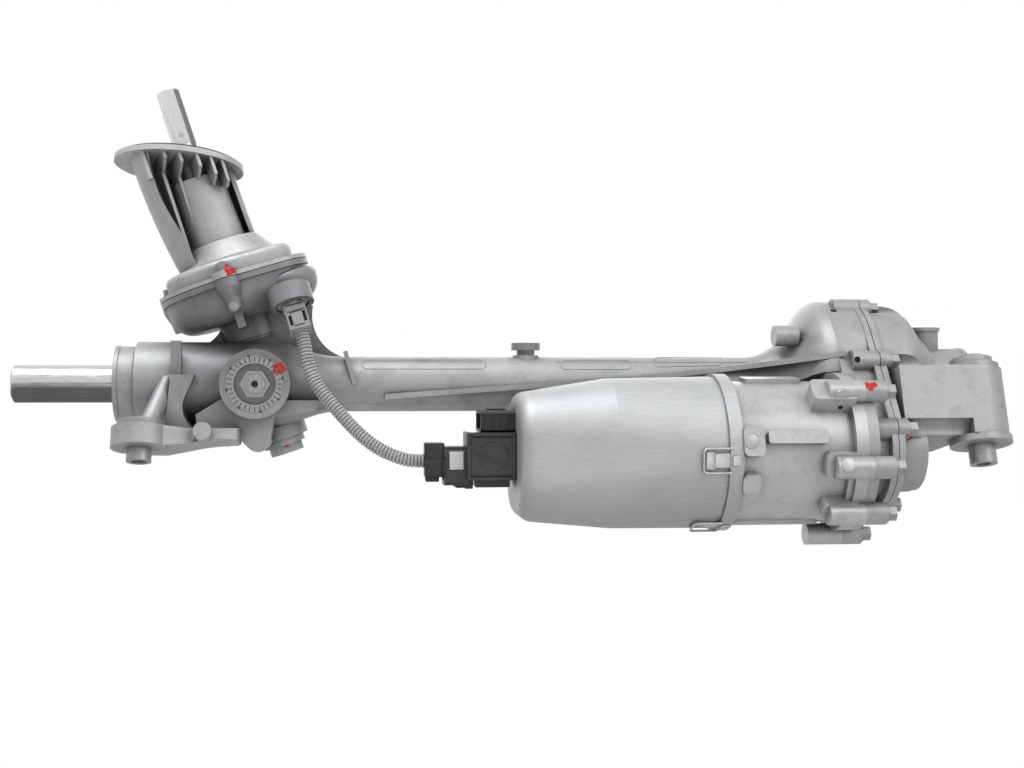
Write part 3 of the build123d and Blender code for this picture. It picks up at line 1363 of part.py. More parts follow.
def main():
    os.makedirs("parts", exist_ok=True)
    nut, nut_bearing, ring_nut, pulley = nut_and_bearing()
    lower = LOWER_BEARING_TOP - LOWER_BEARING_LENGTH
    upper = UPPER_BEARING_LOW + UPPER_BEARING_LENGTH
    seal_low = SHAFT_TUBE_TOP - SHAFT_SEAL_LENGTH
    input_high = INPUT_BEARING_LOW + INPUT_BEARING_LENGTH
    gear_parts = {
        "main_housing": main_housing(),
        "end_housing": end_housing(),
        "tower_cover": tower_cover(),
        "bulkhead_seal": bulkhead_seal(),
        "rack_bar": rack_bar(),
        "pinion_shaft": pinion_shaft(),
        "input_shaft": input_shaft(),
        "torsion_bar": torsion_bar(),
        "shaft_pin": shaft_pin(),
        "pinion_plug": pinion_plug(),
        "pinion_lower_bearing": TOWER
        * plain_ring(LOWER_BEARING_R, LOWER_JOURNAL_R + RUNNING, lower, LOWER_BEARING_TOP),
        "pinion_upper_bearing": TOWER
        * plain_ring(UPPER_BEARING_R, UPPER_JOURNAL_R + RUNNING, UPPER_BEARING_LOW, upper),
        "input_bearing": TOWER
        * plain_ring(INPUT_BEARING_R, SHAFT_JOURNAL_R + RUNNING, INPUT_BEARING_LOW, input_high),
        "shaft_seal": TOWER
        * plain_ring(INPUT_BEARING_R, SHAFT_JOURNAL_R + RUNNING, seal_low, SHAFT_TUBE_TOP),
        "torque_sensor": TOWER * plain_ring(SENSOR_RING_R, SHAFT_R + 5, SENSOR_LOW, SENSOR_HIGH),
        "sensor_magnet": TOWER * plain_ring(SENSOR_MAGNET_R, SHAFT_JOURNAL_R, SHAFT_LOW, SHAFT_LOW + 8),
        "tower_gasket": tower_gasket(),
        "rack_yoke": rack_yoke(),
        "yoke_liner": yoke_liner(),
        "yoke_rings": yoke_rings(),
        "yoke_plug": yoke_plug(),
        "yoke_adjuster": yoke_adjuster(),
        "yoke_spring": yoke_spring(),
        "ball_nut": nut,
        "nut_bearing": nut_bearing,
        "bearing_ring_nut": ring_nut,
        "driven_pulley": pulley,
        "drive_pulley": drive_pulley(),
        "drive_belt": drive_belt(),
        "motor_housing": motor_housing(),
        "control_unit_cover": control_unit_cover(),
        "clamp_band": clamp_band(),
        "band_clips": band_clips(),
        "stator": stator(),
        "rotor": rotor(),
        "rotor_shaft": rotor_shaft(),
        "motor_bearings": motor_bearings(),
        "case_gasket": case_gasket(),
        "control_board": control_board(),
        "vent_button": vent_button(),
        "case_bolts": case_bolts(),
        "motor_bolts": motor_bolts(),
        "tower_bolts": tower_bolts(),
        "connector_block": connector_block(),
        "power_connector": power_connector(),
        "harness_plug": harness_plug(),
        "harness_conduit": harness_conduit(),
        "sensor_plug": sensor_plug(),
    }
    for name, shape in gear_parts.items():
        save(name, row(shape))
    print("bar travel and nut turns from rest", travel())
    save("left_mount_sleeve", left_mount_sleeve())
    save("right_mount_sleeve", right_mount_sleeve())
    save("right_mount_bush", right_mount_bush())


if __name__ == "__main__":
    main()
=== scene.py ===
import math

import bmesh
import bpy
from mathutils import Matrix, Vector
from mathutils.bvhtree import BVHTree


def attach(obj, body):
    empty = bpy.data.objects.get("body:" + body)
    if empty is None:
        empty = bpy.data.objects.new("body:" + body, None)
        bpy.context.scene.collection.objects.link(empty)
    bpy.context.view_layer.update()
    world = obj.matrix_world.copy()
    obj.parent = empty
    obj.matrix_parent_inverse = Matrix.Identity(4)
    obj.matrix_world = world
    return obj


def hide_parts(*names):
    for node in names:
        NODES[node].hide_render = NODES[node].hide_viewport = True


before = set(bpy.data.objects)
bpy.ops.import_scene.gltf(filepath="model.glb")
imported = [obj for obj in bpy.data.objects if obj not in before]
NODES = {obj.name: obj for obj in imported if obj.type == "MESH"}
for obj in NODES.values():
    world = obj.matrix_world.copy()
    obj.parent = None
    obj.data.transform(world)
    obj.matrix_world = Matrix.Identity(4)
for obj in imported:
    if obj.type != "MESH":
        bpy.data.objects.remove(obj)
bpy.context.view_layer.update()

# the row frame is in metres, and small forms are given in millimetres
PER_METRE = 1000

# the gear frame: x along the bar, v up its tilted face and w toward the camera, as in the part's source
RACK_Y, RACK_Z = 0.066, 0.0755
TILT = math.radians(16.5)
ALONG = Vector((1, 0, 0))
V_DIR = Vector((0, -math.sin(TILT), math.cos(TILT)))
W_DIR = Vector((0, -math.cos(TILT), -math.sin(TILT)))
GEAR = Matrix.Translation((0, RACK_Y, RACK_Z)) @ Matrix(
    ((1, 0, 0), (0, V_DIR.y, W_DIR.y), (0, V_DIR.z, W_DIR.z))
).to_4x4()


def gear(x, v, w):
    """A gear-frame point in millimetres, in the row frame in metres."""
    return GEAR @ Vector((x / PER_METRE, v / PER_METRE, w / PER_METRE))


# camera, at the photograph's viewing angle

VIEW_TURN = math.radians(6.8)
VIEW_DISTANCE = 1.095
VIEW_CENTRE = Vector((0.269, RACK_Y, RACK_Z))
SENSOR_WIDTH, LENS = 36, 50
PICTURE_CENTRE = (512, 384)
FOCAL_PIXELS = 1422.2


def make_camera():
    """The camera that stands where the photograph's stood."""
    away = -math.sin(VIEW_TURN) * ALONG + math.cos(VIEW_TURN) * W_DIR
    right = math.cos(VIEW_TURN) * ALONG + math.sin(VIEW_TURN) * W_DIR
    data = bpy.data.cameras.new("view_camera")
    data.sensor_width = SENSOR_WIDTH
    data.lens = LENS
    data.clip_end = 50
    camera = bpy.data.objects.new("view_camera", data)
    bpy.context.scene.collection.objects.link(camera)
    place = VIEW_CENTRE + VIEW_DISTANCE * away
    camera.matrix_world = Matrix(
        (
            (right.x, V_DIR.x, away.x, place.x),
            (right.y, V_DIR.y, away.y, place.y),
            (right.z, V_DIR.z, away.z, place.z),
            (0, 0, 0, 1),
        )
    )
    bpy.context.scene.camera = camera
    return camera


camera = make_camera()


# node helpers

WHITE = (1.0, 1.0, 1.0)
CORNER_SAMPLES = 6


def grey(value):
    """A neutral colour."""
    return (value, value, value)


class Nodes:
    """A small wrapper round a material's node tree."""

    def __init__(self, tree):
        self.tree = tree

    def add(self, kind, **values):
        """A new node with its inputs and settings."""
        node = self.tree.nodes.new(kind)
        for name, value in values.items():
            if name in node.inputs:
                node.inputs[name].default_value = value
            else:
                setattr(node, name, value)
        return node

    def link(self, out, into):
        """A link between two sockets."""
        self.tree.links.new(out, into)

    def noise(self, where, scale, detail, roughness=0.5, stretch=None):
        """A noise texture on object coordinates, stretched along an axis where asked."""
        if stretch:
            mapping = self.add("ShaderNodeMapping")
            mapping.inputs["Scale"].default_value = stretch
            self.link(where, mapping.inputs["Vector"])
            where = mapping.outputs["Vector"]
        node = self.add("ShaderNodeTexNoise", Scale=scale, Detail=detail, Roughness=roughness)
        self.link(where, node.inputs["Vector"])
        return node.outputs["Fac"]

    def ramp(self, fac, low, high, start=0.3, end=0.7):
        """A colour ramp between two colours."""
        node = self.add("ShaderNodeValToRGB")
        node.color_ramp.elements[0].position = start
        node.color_ramp.elements[1].position = end
        node.color_ramp.elements[0].color = (*low, 1)
        node.color_ramp.elements[1].color = (*high, 1)
        self.link(fac, node.inputs["Fac"])
        return node.outputs["Color"]

    def span(self, fac, low, high, start=0.0, end=1.0):
        """A value moved from one range to another."""
        node = self.add("ShaderNodeMapRange")
        node.inputs["From Min"].default_value = start
        node.inputs["From Max"].default_value = end
        node.inputs["To Min"].default_value = low
        node.inputs["To Max"].default_value = high
        self.link(fac, node.inputs["Value"])
        return node.outputs["Result"]

    def darken(self, share, tone, shade):
        """A colour multiplied in part by another."""
        node = self.add("ShaderNodeMix", data_type="RGBA", blend_type="MULTIPLY")
        node.inputs[0].default_value = share
        self.link(tone, node.inputs[6])
        self.link(shade, node.inputs[7])
        return node.outputs[2]

    def tint(self, share, tone, fac, low, start, end):
        """A colour darkened in part where a value is low."""
        return self.darken(share, tone, self.ramp(fac, low, WHITE, start, end))

    def corners(self, reach):
        """How open each point is within a reach in metres, so low in the corners; the materials paint shade
        into corners with it.
        """
        return self.add("ShaderNodeAmbientOcclusion", samples=CORNER_SAMPLES, Distance=reach).outputs["AO"]

    def measure(self, operation, vector, other):
        """A distance or dot product between a vector and a fixed one."""
        node = self.add("ShaderNodeVectorMath", operation=operation)
        self.link(vector, node.inputs[0])
        node.inputs[1].default_value = other
        return node.outputs["Value"]

    def bump(self, height, distance, strength, normal=None):
        """A bump from a height, in metres, on top of another where one is given."""
        node = self.add("ShaderNodeBump", Strength=strength, Distance=distance)
        self.link(height, node.inputs["Height"])
        if normal is not None:
            self.link(normal, node.inputs["Normal"])
        return node.outputs["Normal"]


def new_material(name, metallic, roughness):
    """A material with its nodes, its shader and its object coordinates."""
    material = bpy.data.materials.new(name)
    material.use_nodes = True
    nodes = Nodes(material.node_tree)
    shader = material.node_tree.nodes["Principled BSDF"]
    shader.inputs["Metallic"].default_value = metallic
    shader.inputs["Roughness"].default_value = roughness
    where = nodes.add("ShaderNodeTexCoord").outputs["Object"]
    return material, nodes, shader, where


def skin(nodes, shader, tone, fac, rough, rise, normal):
    """Gives the shader a colour, a roughness that varies a little with a value, and a normal."""
    nodes.link(tone, shader.inputs["Base Color"])
    nodes.link(nodes.span(fac, rough - 0.06, rough + rise, 0.3, 0.7), shader.inputs["Roughness"])
    nodes.link(normal, shader.inputs["Normal"])


# a cast skin's speckle, pits and stains: scale, detail and roughness of the noise, then how much each
# darkens the skin, its darkest tone, and the values of the noise between which it fades
CAST_LAYERS = (
    ((1300, 2, 0.6), 0.6, 0.72, 0.28, 0.55),
    ((330, 2, 0.7), 0.8, 0.30, 0.20, 0.27),
    ((70, 5, 0.7), 0.7, 0.80, 0.34, 0.50),
)


def cast_metal(name, light, dark, rough=0.46, grain=1.0, shade_centre=None):
    """Blasted cast aluminium: mottled, pebbled and pitted, with painted shade in its corners and, where
    asked, painted shade near a point.
    """
    material, nodes, shader, where = new_material(name, 0.35, rough)
    broad = nodes.noise(where, 24, 4, 0.62)
    tone = nodes.ramp(broad, dark, light, 0.30, 0.70)
    for noise, share, low, start, end in CAST_LAYERS:
        tone = nodes.tint(share, tone, nodes.noise(where, *noise), grey(low), start, end)
    # painted shade: the skin is darkened in its corners
    tone = nodes.tint(0.9, tone, nodes.corners(0.016), (0.24, 0.24, 0.25), 0.18, 0.92)
    # painted shade: the skin is darkened within a distance of a point
    if shade_centre:
        tone = nodes.tint(1.0, tone, nodes.measure("DISTANCE", where, shade_centre), CAN_SHADE_TONE, CAN_SHADE_NEAR, CAN_SHADE_FAR)
    lumps = nodes.bump(nodes.noise(where, 110, 2, 0.5), 0.0005, 0.35)
    pebbles = nodes.bump(nodes.noise(where, 900, 3, 0.55), 0.00018 * grain, 0.6, lumps)
    skin(nodes, shader, tone, broad, rough, 0.08, pebbles)
    return material


def machined_metal(name, light, dark, rough, stretch, scale=260, depth=0.00002, metallic=1.0, shaded_side=None):
    """Turned, ground or brushed metal: fine lines in one direction, painted shade in its corners, and
    painted shade on the faces that look toward one side where asked.
    """
    material, nodes, shader, where = new_material(name, metallic, rough)
    lines = nodes.noise(where, scale, 4, 0.6, stretch)
    tone = nodes.ramp(lines, dark, light, 0.3, 0.7)
    tone = nodes.tint(0.6, tone, nodes.noise(where, 30, 3, 0.5), grey(0.9), 0.35, 0.65)
    # painted shade: the tone is darkened in corners
    tone = nodes.tint(0.9, tone, nodes.corners(0.006), grey(0.14), 0.15, 0.85)
    # painted shade: faces that look toward the given side are darkened
    if shaded_side:
        normal = nodes.add("ShaderNodeTexCoord").outputs["Normal"]
        side = nodes.ramp(nodes.measure("DOT_PRODUCT", normal, shaded_side), WHITE, SIDE_SHADE_TONE, 0.40, 0.62)
        tone = nodes.darken(1.0, tone, side)
    skin(nodes, shader, tone, lines, rough, 0.1, nodes.bump(lines, depth, 0.5))
    return material


def plastic(name, light, dark, rough=0.45, grain=0.00004, crevice_shade=None):
    """Moulded plastic or rubber with a fine skin and slight scuffs, and painted shade in its crevices where
    asked.
    """
    material, nodes, shader, where = new_material(name, 0.0, rough)
    broad = nodes.noise(where, 60, 3, 0.6)
    tone = nodes.ramp(broad, dark, light, 0.35, 0.65)
    # painted shade: the tone is darkened in crevices
    if crevice_shade:
        tone = nodes.tint(0.92, tone, nodes.corners(crevice_shade), grey(0.10), 0.35, 0.85)
    grained = nodes.bump(nodes.noise(where, 1800, 2, 0.5), grain, 0.5)
    skin(nodes, shader, tone, broad, rough, 0.08, grained)
    return material


# painted shade: the sensor can's skin is darkened to this tone within these distances of its middle
CAN_SHADE_TONE = (0.62, 0.62, 0.63)
CAN_SHADE_NEAR, CAN_SHADE_FAR = 0.050, 0.085
CAN_CENTRE = (0.078, 0.040, 0.110)
# painted shade by facing: the shaft's milled flats and the bar's underside are darkened to this tone where
# they face these sides
SIDE_SHADE_TONE = (0.26, 0.26, 0.27)
SHAFT_SIDE = (0.93, -0.20, 0.30)
BAR_LOW_SIDE = (0.0, -0.15, -0.99)
EVEN = (1, 1, 1)

MATERIALS = {
    "cast": cast_metal("cast_aluminium", (0.49, 0.50, 0.51), (0.38, 0.39, 0.40)),
    "cast_main": cast_metal("cast_aluminium_main", (0.49, 0.50, 0.51), (0.38, 0.39, 0.40), shade_centre=CAN_CENTRE),
    "cast_pale": cast_metal("cast_aluminium_pale", (0.62, 0.63, 0.63), (0.52, 0.53, 0.53), 0.5, 0.7),
    "motor": cast_metal("cast_motor", (0.60, 0.61, 0.62), (0.52, 0.53, 0.54), 0.36, 0.6),
    "ground": machined_metal(
        "ground_steel", grey(0.68), grey(0.50), 0.20, (1, 12, 12), 90, shaded_side=BAR_LOW_SIDE
    ),
    "shaft": machined_metal(
        "shaft_steel", (0.80, 0.80, 0.79), grey(0.71), 0.26, (14, 14, 1), 60, 0.000001, 0.9, SHAFT_SIDE
    ),
    "steel": machined_metal("turned_steel", grey(0.60), grey(0.50), 0.26, EVEN, 240, 0.000002, 0.7),
    "zinc": machined_metal("zinc_steel", grey(0.42), grey(0.32), 0.4, EVEN, 420, 0.00001, 0.6),
    "brushed": machined_metal(
        "brushed_cover", (0.56, 0.57, 0.58), (0.43, 0.44, 0.45), 0.56, (1, 26, 26), 60, 0.000004, 0.85
    ),
    "black": plastic("black_plastic", (0.020, 0.020, 0.021), grey(0.012)),
    "black_worn": plastic("black_plastic_worn", (0.045, 0.046, 0.048), (0.018, 0.018, 0.019), 0.38),
    "grey": plastic("grey_plastic", (0.34, 0.35, 0.36), (0.26, 0.27, 0.28)),
    "light_grey": plastic("light_grey_plastic", grey(0.48), grey(0.40), 0.5, crevice_shade=0.003),
    "conduit": plastic("conduit_plastic", grey(0.56), (0.44, 0.44, 0.45), 0.34, crevice_shade=0.0016),
    "label": plastic("blank_label", (0.80, 0.80, 0.79), (0.70, 0.70, 0.69), 0.5),
    "paint": plastic("red_paint_dab", (0.72, 0.012, 0.014), (0.50, 0.006, 0.008), 0.4, 0.0002),
    "yellow": plastic("yellow_paint_dab", (0.65, 0.50, 0.08), (0.50, 0.36, 0.05), 0.4, 0.0002),
    # painted shadow: a near-black material for discs, plates and patches that stand for the shade in holes,
    # recesses, slots and notches
    "shadow": plastic("painted_recess_shadow", grey(0.012), grey(0.006), 0.9),
    "rubber": plastic("black_rubber", grey(0.025), grey(0.015), 0.6),
    "gasket": plastic("cured_sealant", grey(0.06), grey(0.03), 0.55),
    "laminations": machined_metal("laminations", (0.22, 0.22, 0.23), grey(0.12), 0.45, (40, 1, 1), 300),
    "bronze": machined_metal("bronze_liner", (0.55, 0.38, 0.18), (0.45, 0.30, 0.14), 0.35, EVEN),
    "board": plastic("board_laminate", (0.03, 0.14, 0.07), (0.02, 0.10, 0.05), 0.35),
}

# every other node is plain turned steel
NODE_MATERIALS = {
    "main_housing": "cast_main",
    "end_housing": "cast",
    "tower_cover": "cast_pale",
    "motor_housing": "motor",
    "bulkhead_seal": "rubber",
    "rack_bar": "ground",
    "input_shaft": "shaft",
    "pinion_plug": "cast",
    "shaft_seal": "rubber",
    "torque_sensor": "black",
    "tower_gasket": "gasket",
    "case_gasket": "gasket",
    "rack_yoke": "cast",
    "yoke_liner": "bronze",
    "yoke_rings": "rubber",
    "yoke_plug": "zinc",
    "yoke_adjuster": "zinc",
    "driven_pulley": "black",
    "drive_belt": "rubber",
    "control_unit_cover": "brushed",
    "clamp_band": "brushed",
    "stator": "laminations",
    "rotor": "laminations",
    "control_board": "board",
    "vent_button": "grey",
    "band_clips": "steel",
    "connector_block": "black_worn",
    "power_connector": "black",
    "harness_plug": "black_worn",
    "harness_conduit": "grey",
    "sensor_plug": "light_grey",
    "right_mount_bush": "cast",
    "left_mount_sleeve": "zinc",
    "right_mount_sleeve": "zinc",
    "case_bolts": "zinc",
    "motor_bolts": "zinc",
    "tower_bolts": "zinc",
}


def dress(node, material):
    """Gives a CAD node its material."""
    mesh = NODES[node].data
    mesh.materials.clear()
    mesh.materials.append(MATERIALS[material])


for node in NODES:
    dress(node, NODE_MATERIALS.get(node, "steel"))


# mesh helpers

SHARP_ANGLE = math.radians(40)
EDGE_PROFILE = 0.6


def piece(name, bm, material, body="housing"):
    """A finished mesh piece that rides on a body."""
    mesh = bpy.data.meshes.new(name)
    bmesh.ops.recalc_face_normals(bm, faces=bm.faces)
    bm.to_mesh(mesh)
    bm.free()
    mesh.materials.append(MATERIALS[material])
    mesh.shade_smooth()
    mesh.set_sharp_from_angle(angle=SHARP_ANGLE)
    made = bpy.data.objects.new(name, mesh)
    bpy.context.scene.collection.objects.link(made)
    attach(made, body)
    return made


def rounded(bm, made, bevel, segments, place):
    """Rounds the edges of new vertices' faces and moves them to their place."""
    edges = list({edge for vert in made for edge in vert.link_edges})
    cut = bmesh.ops.bevel(
        bm, geom=edges, offset=bevel / PER_METRE, segments=segments, profile=EDGE_PROFILE, affect="EDGES"
    )
    parts = set(cut["verts"]) | {vert for vert in made if vert.is_valid}
    bmesh.ops.transform(bm, matrix=place, verts=list(parts))


def slab(bm, low, high, bevel, place=GEAR):
    """Adds a box with rounded edges, given by its corners in millimetres."""
    made = bmesh.ops.create_cube(bm, size=1.0)["verts"]
    middle = (Vector(low) + Vector(high)) / (2 * PER_METRE)
    size = (Vector(high) - Vector(low)) / PER_METRE
    bmesh.ops.transform(bm, matrix=Matrix.Translation(middle) @ Matrix.Diagonal((*size, 1)), verts=made)
    rounded(bm, made, bevel, 3, place)


def slabs(bm, boxes, place=GEAR):
    """Adds boxes, each given by its low corner, its high corner and its edge's radius."""
    for low, high, bevel in boxes:
        slab(bm, low, high, bevel, place)


def slab_piece(name, boxes, material, place=GEAR):
    """A piece made of rounded boxes."""
    bm = bmesh.new()
    slabs(bm, boxes, place)
    return piece(name, bm, material)


def prism(bm, outline, low, high, bevel):
    """Adds a plate with an outline in x and v, between two depths, with rounded edges."""
    bottom, top = (
        [bm.verts.new((x / PER_METRE, v / PER_METRE, depth / PER_METRE)) for x, v in outline]
        for depth in (low, high)
    )
    bm.faces.new(reversed(bottom))
    bm.faces.new(top)
    for k in range(len(outline)):
        n = (k + 1) % len(outline)
        bm.faces.new((bottom[k], bottom[n], top[n], top[k]))
    rounded(bm, bottom + top, bevel, 2, GEAR)


def turned(bm, profile, place, steps):
    """Adds a turned form: radii and heights in millimetres about the local z axis."""
    rings = []
    for radius, height in profile:
        turns = [2 * math.pi * k / steps for k in range(steps if radius else 1)]
        rings.append([
            bm.verts.new(
                place @ Vector((
                    radius / PER_METRE * math.cos(turn),
                    radius / PER_METRE * math.sin(turn),
                    height / PER_METRE,
                ))
            )
            for turn in turns
        ])
    join_rings(bm, rings, steps)


def join_rings(bm, rings, steps):
    """Joins rings of vertices with faces; a ring of one vertex is a tip."""
    for first, second in zip(rings, rings[1:]):
        for k in range(steps):
            n = (k + 1) % steps
            near = [first[k % len(first)], first[n % len(first)]]
            far = [second[n % len(second)], second[k % len(second)]]
            unique = list(dict.fromkeys(near + far))
            if len(unique) > 2:
                bm.faces.new(unique)


# any direction that no tube starts along
START_UP = Vector((0.3, 0.5, 0.8))


def tube(bm, points, radii, steps, closed=False):
    """Adds a round tube along points, with a radius at each."""
    frame_up = START_UP.normalized()
    rings, count = [], len(points)
    for k, point in enumerate(points):
        ahead = points[(k + 1) % count] if closed else points[min(k + 1, count - 1)]
        behind = points[k - 1] if closed else points[max(k - 1, 0)]
        along = (ahead - behind).normalized()
        frame_up = (frame_up - along * frame_up.dot(along)).normalized()
        side = along.cross(frame_up)
        turns = [2 * math.pi * j / steps for j in range(steps)]
        rings.append([
            bm.verts.new(point + radii[k] * (math.cos(turn) * frame_up + math.sin(turn) * side))
            for turn in turns
        ])
    join_rings(bm, rings, steps)
    if closed:
        twist = min(range(steps), key=lambda j: (rings[-1][0].co - rings[0][j].co).length)
        join_rings(bm, [rings[-1], rings[0][twist:] + rings[0][:twist]], steps)
    else:
        for ring in (rings[0], rings[-1]):
            bm.faces.new(ring)


# paint and small forms on the castings, placed by points of the picture

SURFACES = {}


def surface(node):
    """A search tree over a CAD node's faces."""
    if node not in SURFACES:
        made, world = NODES[node], NODES[node].matrix_world
        SURFACES[node] = BVHTree.FromPolygons(
            [world @ vert.co for vert in made.data.vertices],
            [tuple(face.vertices) for face in made.data.polygons],
        )
    return SURFACES[node]


bpy.context.view_layer.update()
EYE = camera.matrix_world.translation.copy()


def hit(node, px, py):
    """Where the view's line through a point of the picture meets a CAD node, and the normal there."""
    across, up = px - PICTURE_CENTRE[0], PICTURE_CENTRE[1] - py
    line = camera.matrix_world.to_3x3() @ Vector((across / FOCAL_PIXELS, up / FOCAL_PIXELS, -1))
    line = line.normalized()
    place, normal, _, _ = surface(node).ray_cast(EYE, line)
    if place is None:
        return None, None
    return place, (normal if normal.dot(line) < 0 else -normal)


DAB_CELLS = 22
DAB_LIFT = 0.00012
DAB_REACH = 0.0022


def ragged(angle, seed):
    """The wavy edge of a touch of paint, as a share of its reach."""
    edge = 0.78 + 0.14 * math.sin(3 * angle + seed) + 0.10 * math.sin(5 * angle + 2.3 * seed)
    return edge + 0.06 * math.sin(11 * angle + 4.1 * seed)


def dab(name, node, px, py, reach_x, reach_y, material, seed):
    """A thin, ragged touch of paint that lies on a CAD node's surface."""
    bm = bmesh.new()
    grid = {}
    for i in range(DAB_CELLS + 1):
        for j in range(DAB_CELLS + 1):
            u, v = 2 * i / DAB_CELLS - 1, 2 * j / DAB_CELLS - 1
            if math.hypot(u, v) > ragged(math.atan2(v, u), seed):
                continue
            place, normal = hit(node, px + u * reach_x, py + v * reach_y)
            if place is not None:
                grid[i, j] = (bm.verts.new(place + normal * DAB_LIFT), place)
    for i in range(DAB_CELLS):
        for j in range(DAB_CELLS):
            keys = [(i, j), (i + 1, j), (i + 1, j + 1), (i, j + 1)]
            found = [grid[key] for key in keys if key in grid]
            if len(found) < 3:
                continue
            places = [entry[1] for entry in found]
            if max((a - b).length for a in places for b in places) < DAB_REACH:
                bm.faces.new([entry[0] for entry in found])
    bmesh.ops.delete(bm, geom=[vert for vert in bm.verts if not vert.link_faces], context="VERTS")
    if not bm.faces:
        bm.free()
        return None
    return piece(name, bm, material)


def spot(name, node, px, py, profile, material):
    """A small turned form that stands on a CAD node's surface."""
    place, normal = hit(node, px, py)
    if place is None:
        return None
    bm = bmesh.new()
    upright = normal.to_track_quat("Z", "Y").to_matrix().to_4x4()
    turned(bm, profile, Matrix.Translation(place) @ upright, 32)
    return piece(name, bm, material)


RIDGE_RADIUS = 0.00038
RIDGE_SIDES = 8


def ridge(name, node, outline):
    """A fine raised line that follows a closed outline over a CAD node."""
    points = [hit(node, *point) for point in outline]
    points = [place + normal * RIDGE_RADIUS * 0.1 for place, normal in points if place is not None]
    if len(points) < RIDGE_SIDES:
        return None
    bm = bmesh.new()
    tube(bm, points, [RIDGE_RADIUS] * len(points), RIDGE_SIDES, closed=True)
    return piece(name, bm, "cast")


END_STEPS = 14
OUTLINE_STEP = 2.0


def stadium(left, right, low, high, rise):
    """A long outline with round ends, in picture points."""
    half, middle = (high - low) / 2, (high + low) / 2
    turns = [math.pi * (k / END_STEPS - 0.5) for k in range(END_STEPS + 1)]
    ends = [(right - half + half * math.cos(t), middle + half * math.sin(t)) for t in turns]
    ends += [(left + half - half * math.cos(t), middle - half * math.sin(t)) for t in turns]
    spread = []
    for k, (x, y) in enumerate(ends):
        following = ends[(k + 1) % len(ends)]
        steps = max(1, int(math.dist((x, y), following) / OUTLINE_STEP))
        for step in range(steps):
            f = step / steps
            spread.append((x + (following[0] - x) * f, y + (following[1] - y) * f))
    return [(x, y + rise * (x - left)) for x, y in spread]


# the corrugated conduit

CONDUIT_ROUTE = (
    (109.4, 37.9, 42.0), (112.29, 28.35, 45.29), (114.3, 14.5, 47.5), (121.0, -1.5, 49.8),
    (135.0, -18.5, 53.0), (150.0, -35.0, 57.8), (163.5, -45.8, 62.6), (178.5, -52.6, 66.6),
    (188.0, -55.0, 68.0), (198.0, -55.0, 68.0),
)
CONDUIT_PITCH = 0.0025
CONDUIT_R = 0.005
CONDUIT_GROOVE = 0.001
CONDUIT_SIDES = 28
WAVE_STEPS = 10
WAVE_FULLNESS = 0.32


def conduit_line():
    """Points read from the route's smooth spline."""
    data = bpy.data.curves.new("conduit_route", "CURVE")
    data.dimensions = "3D"
    data.resolution_u = 40
    spline = data.splines.new("NURBS")
    spline.points.add(len(CONDUIT_ROUTE) - 1)
    for point, place in zip(spline.points, CONDUIT_ROUTE):
        point.co = (*gear(*place), 1)
    spline.order_u = 3
    spline.use_endpoint_u = True
    route = bpy.data.objects.new("conduit_route", data)
    mesh = bpy.data.meshes.new_from_object(route)
    points = [vert.co.copy() for vert in mesh.vertices]
    bpy.data.objects.remove(route)
    bpy.data.meshes.remove(mesh)
    return points


def spaced(points, step):
    """Evenly spaced points along a line."""
    reach = [0.0]
    for first, second in zip(points, points[1:]):
        reach.append(reach[-1] + (second - first).length)
    count = max(2, round(reach[-1] / step))
    made, k = [], 0
    for index in range(count + 1):
        goal = reach[-1] * index / count
        while k < len(reach) - 2 and reach[k + 1] < goal:
            k += 1
        part = (goal - reach[k]) / max(reach[k + 1] - reach[k], 1e-9)
        made.append(points[k].lerp(points[k + 1], min(max(part, 0), 1)))
    return made, reach[-1]


def make_conduit():
    """The corrugated tube between the sensor plug and the harness plug."""
    line = conduit_line()
    fine, length = spaced(line, CONDUIT_PITCH / WAVE_STEPS)
    radii = []
    for k in range(len(fine)):
        wave = 0.5 + 0.5 * math.cos(2 * math.pi * k / WAVE_STEPS)
        radii.append(CONDUIT_R - CONDUIT_GROOVE + CONDUIT_GROOVE * wave**WAVE_FULLNESS)
    bm = bmesh.new()
    tube(bm, fine, radii, CONDUIT_SIDES)
    conduit = piece("corrugated_conduit", bm, "conduit")
    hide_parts("harness_conduit")


make_conduit()


# connector details, in the gear frame in millimetres

CONNECTOR_WALLS = (
    ((226.6, -68.2, 54), (229.6, -34.4, 88.8), 0.8),
    ((229, -37.2, 86.6), (261.6, -34.4, 88.9), 0.7),
    ((229, -68.2, 86.6), (261.6, -66.0, 88.7), 0.6),
    ((258.6, -66.5, 87.4), (261.6, -36.5, 88.7), 0.5),
    ((233.4, -73.7, 58), (258.0, -67.2, 80.0), 0.6),
)
CONNECTOR_GRIP = [((235.0 + 2.1 * k, -73.2, 79.8), (235.8 + 2.1 * k, -67.8, 80.5), 0.2) for k in range(11)]
CONNECTOR_RING = [(9.4, -0.2), (9.4, 0.35), (9.9, 0.6), (10.5, 0.6), (11.0, 0.3), (11.0, -0.2)]
RING_PLACE = (0.2455, -0.0504, 0.088)
CONNECTOR_MARK = [(239, -49.5), (247, -52.5), (251, -54.5), (248, -55.2), (243, -52.4), (238, -50.6)]

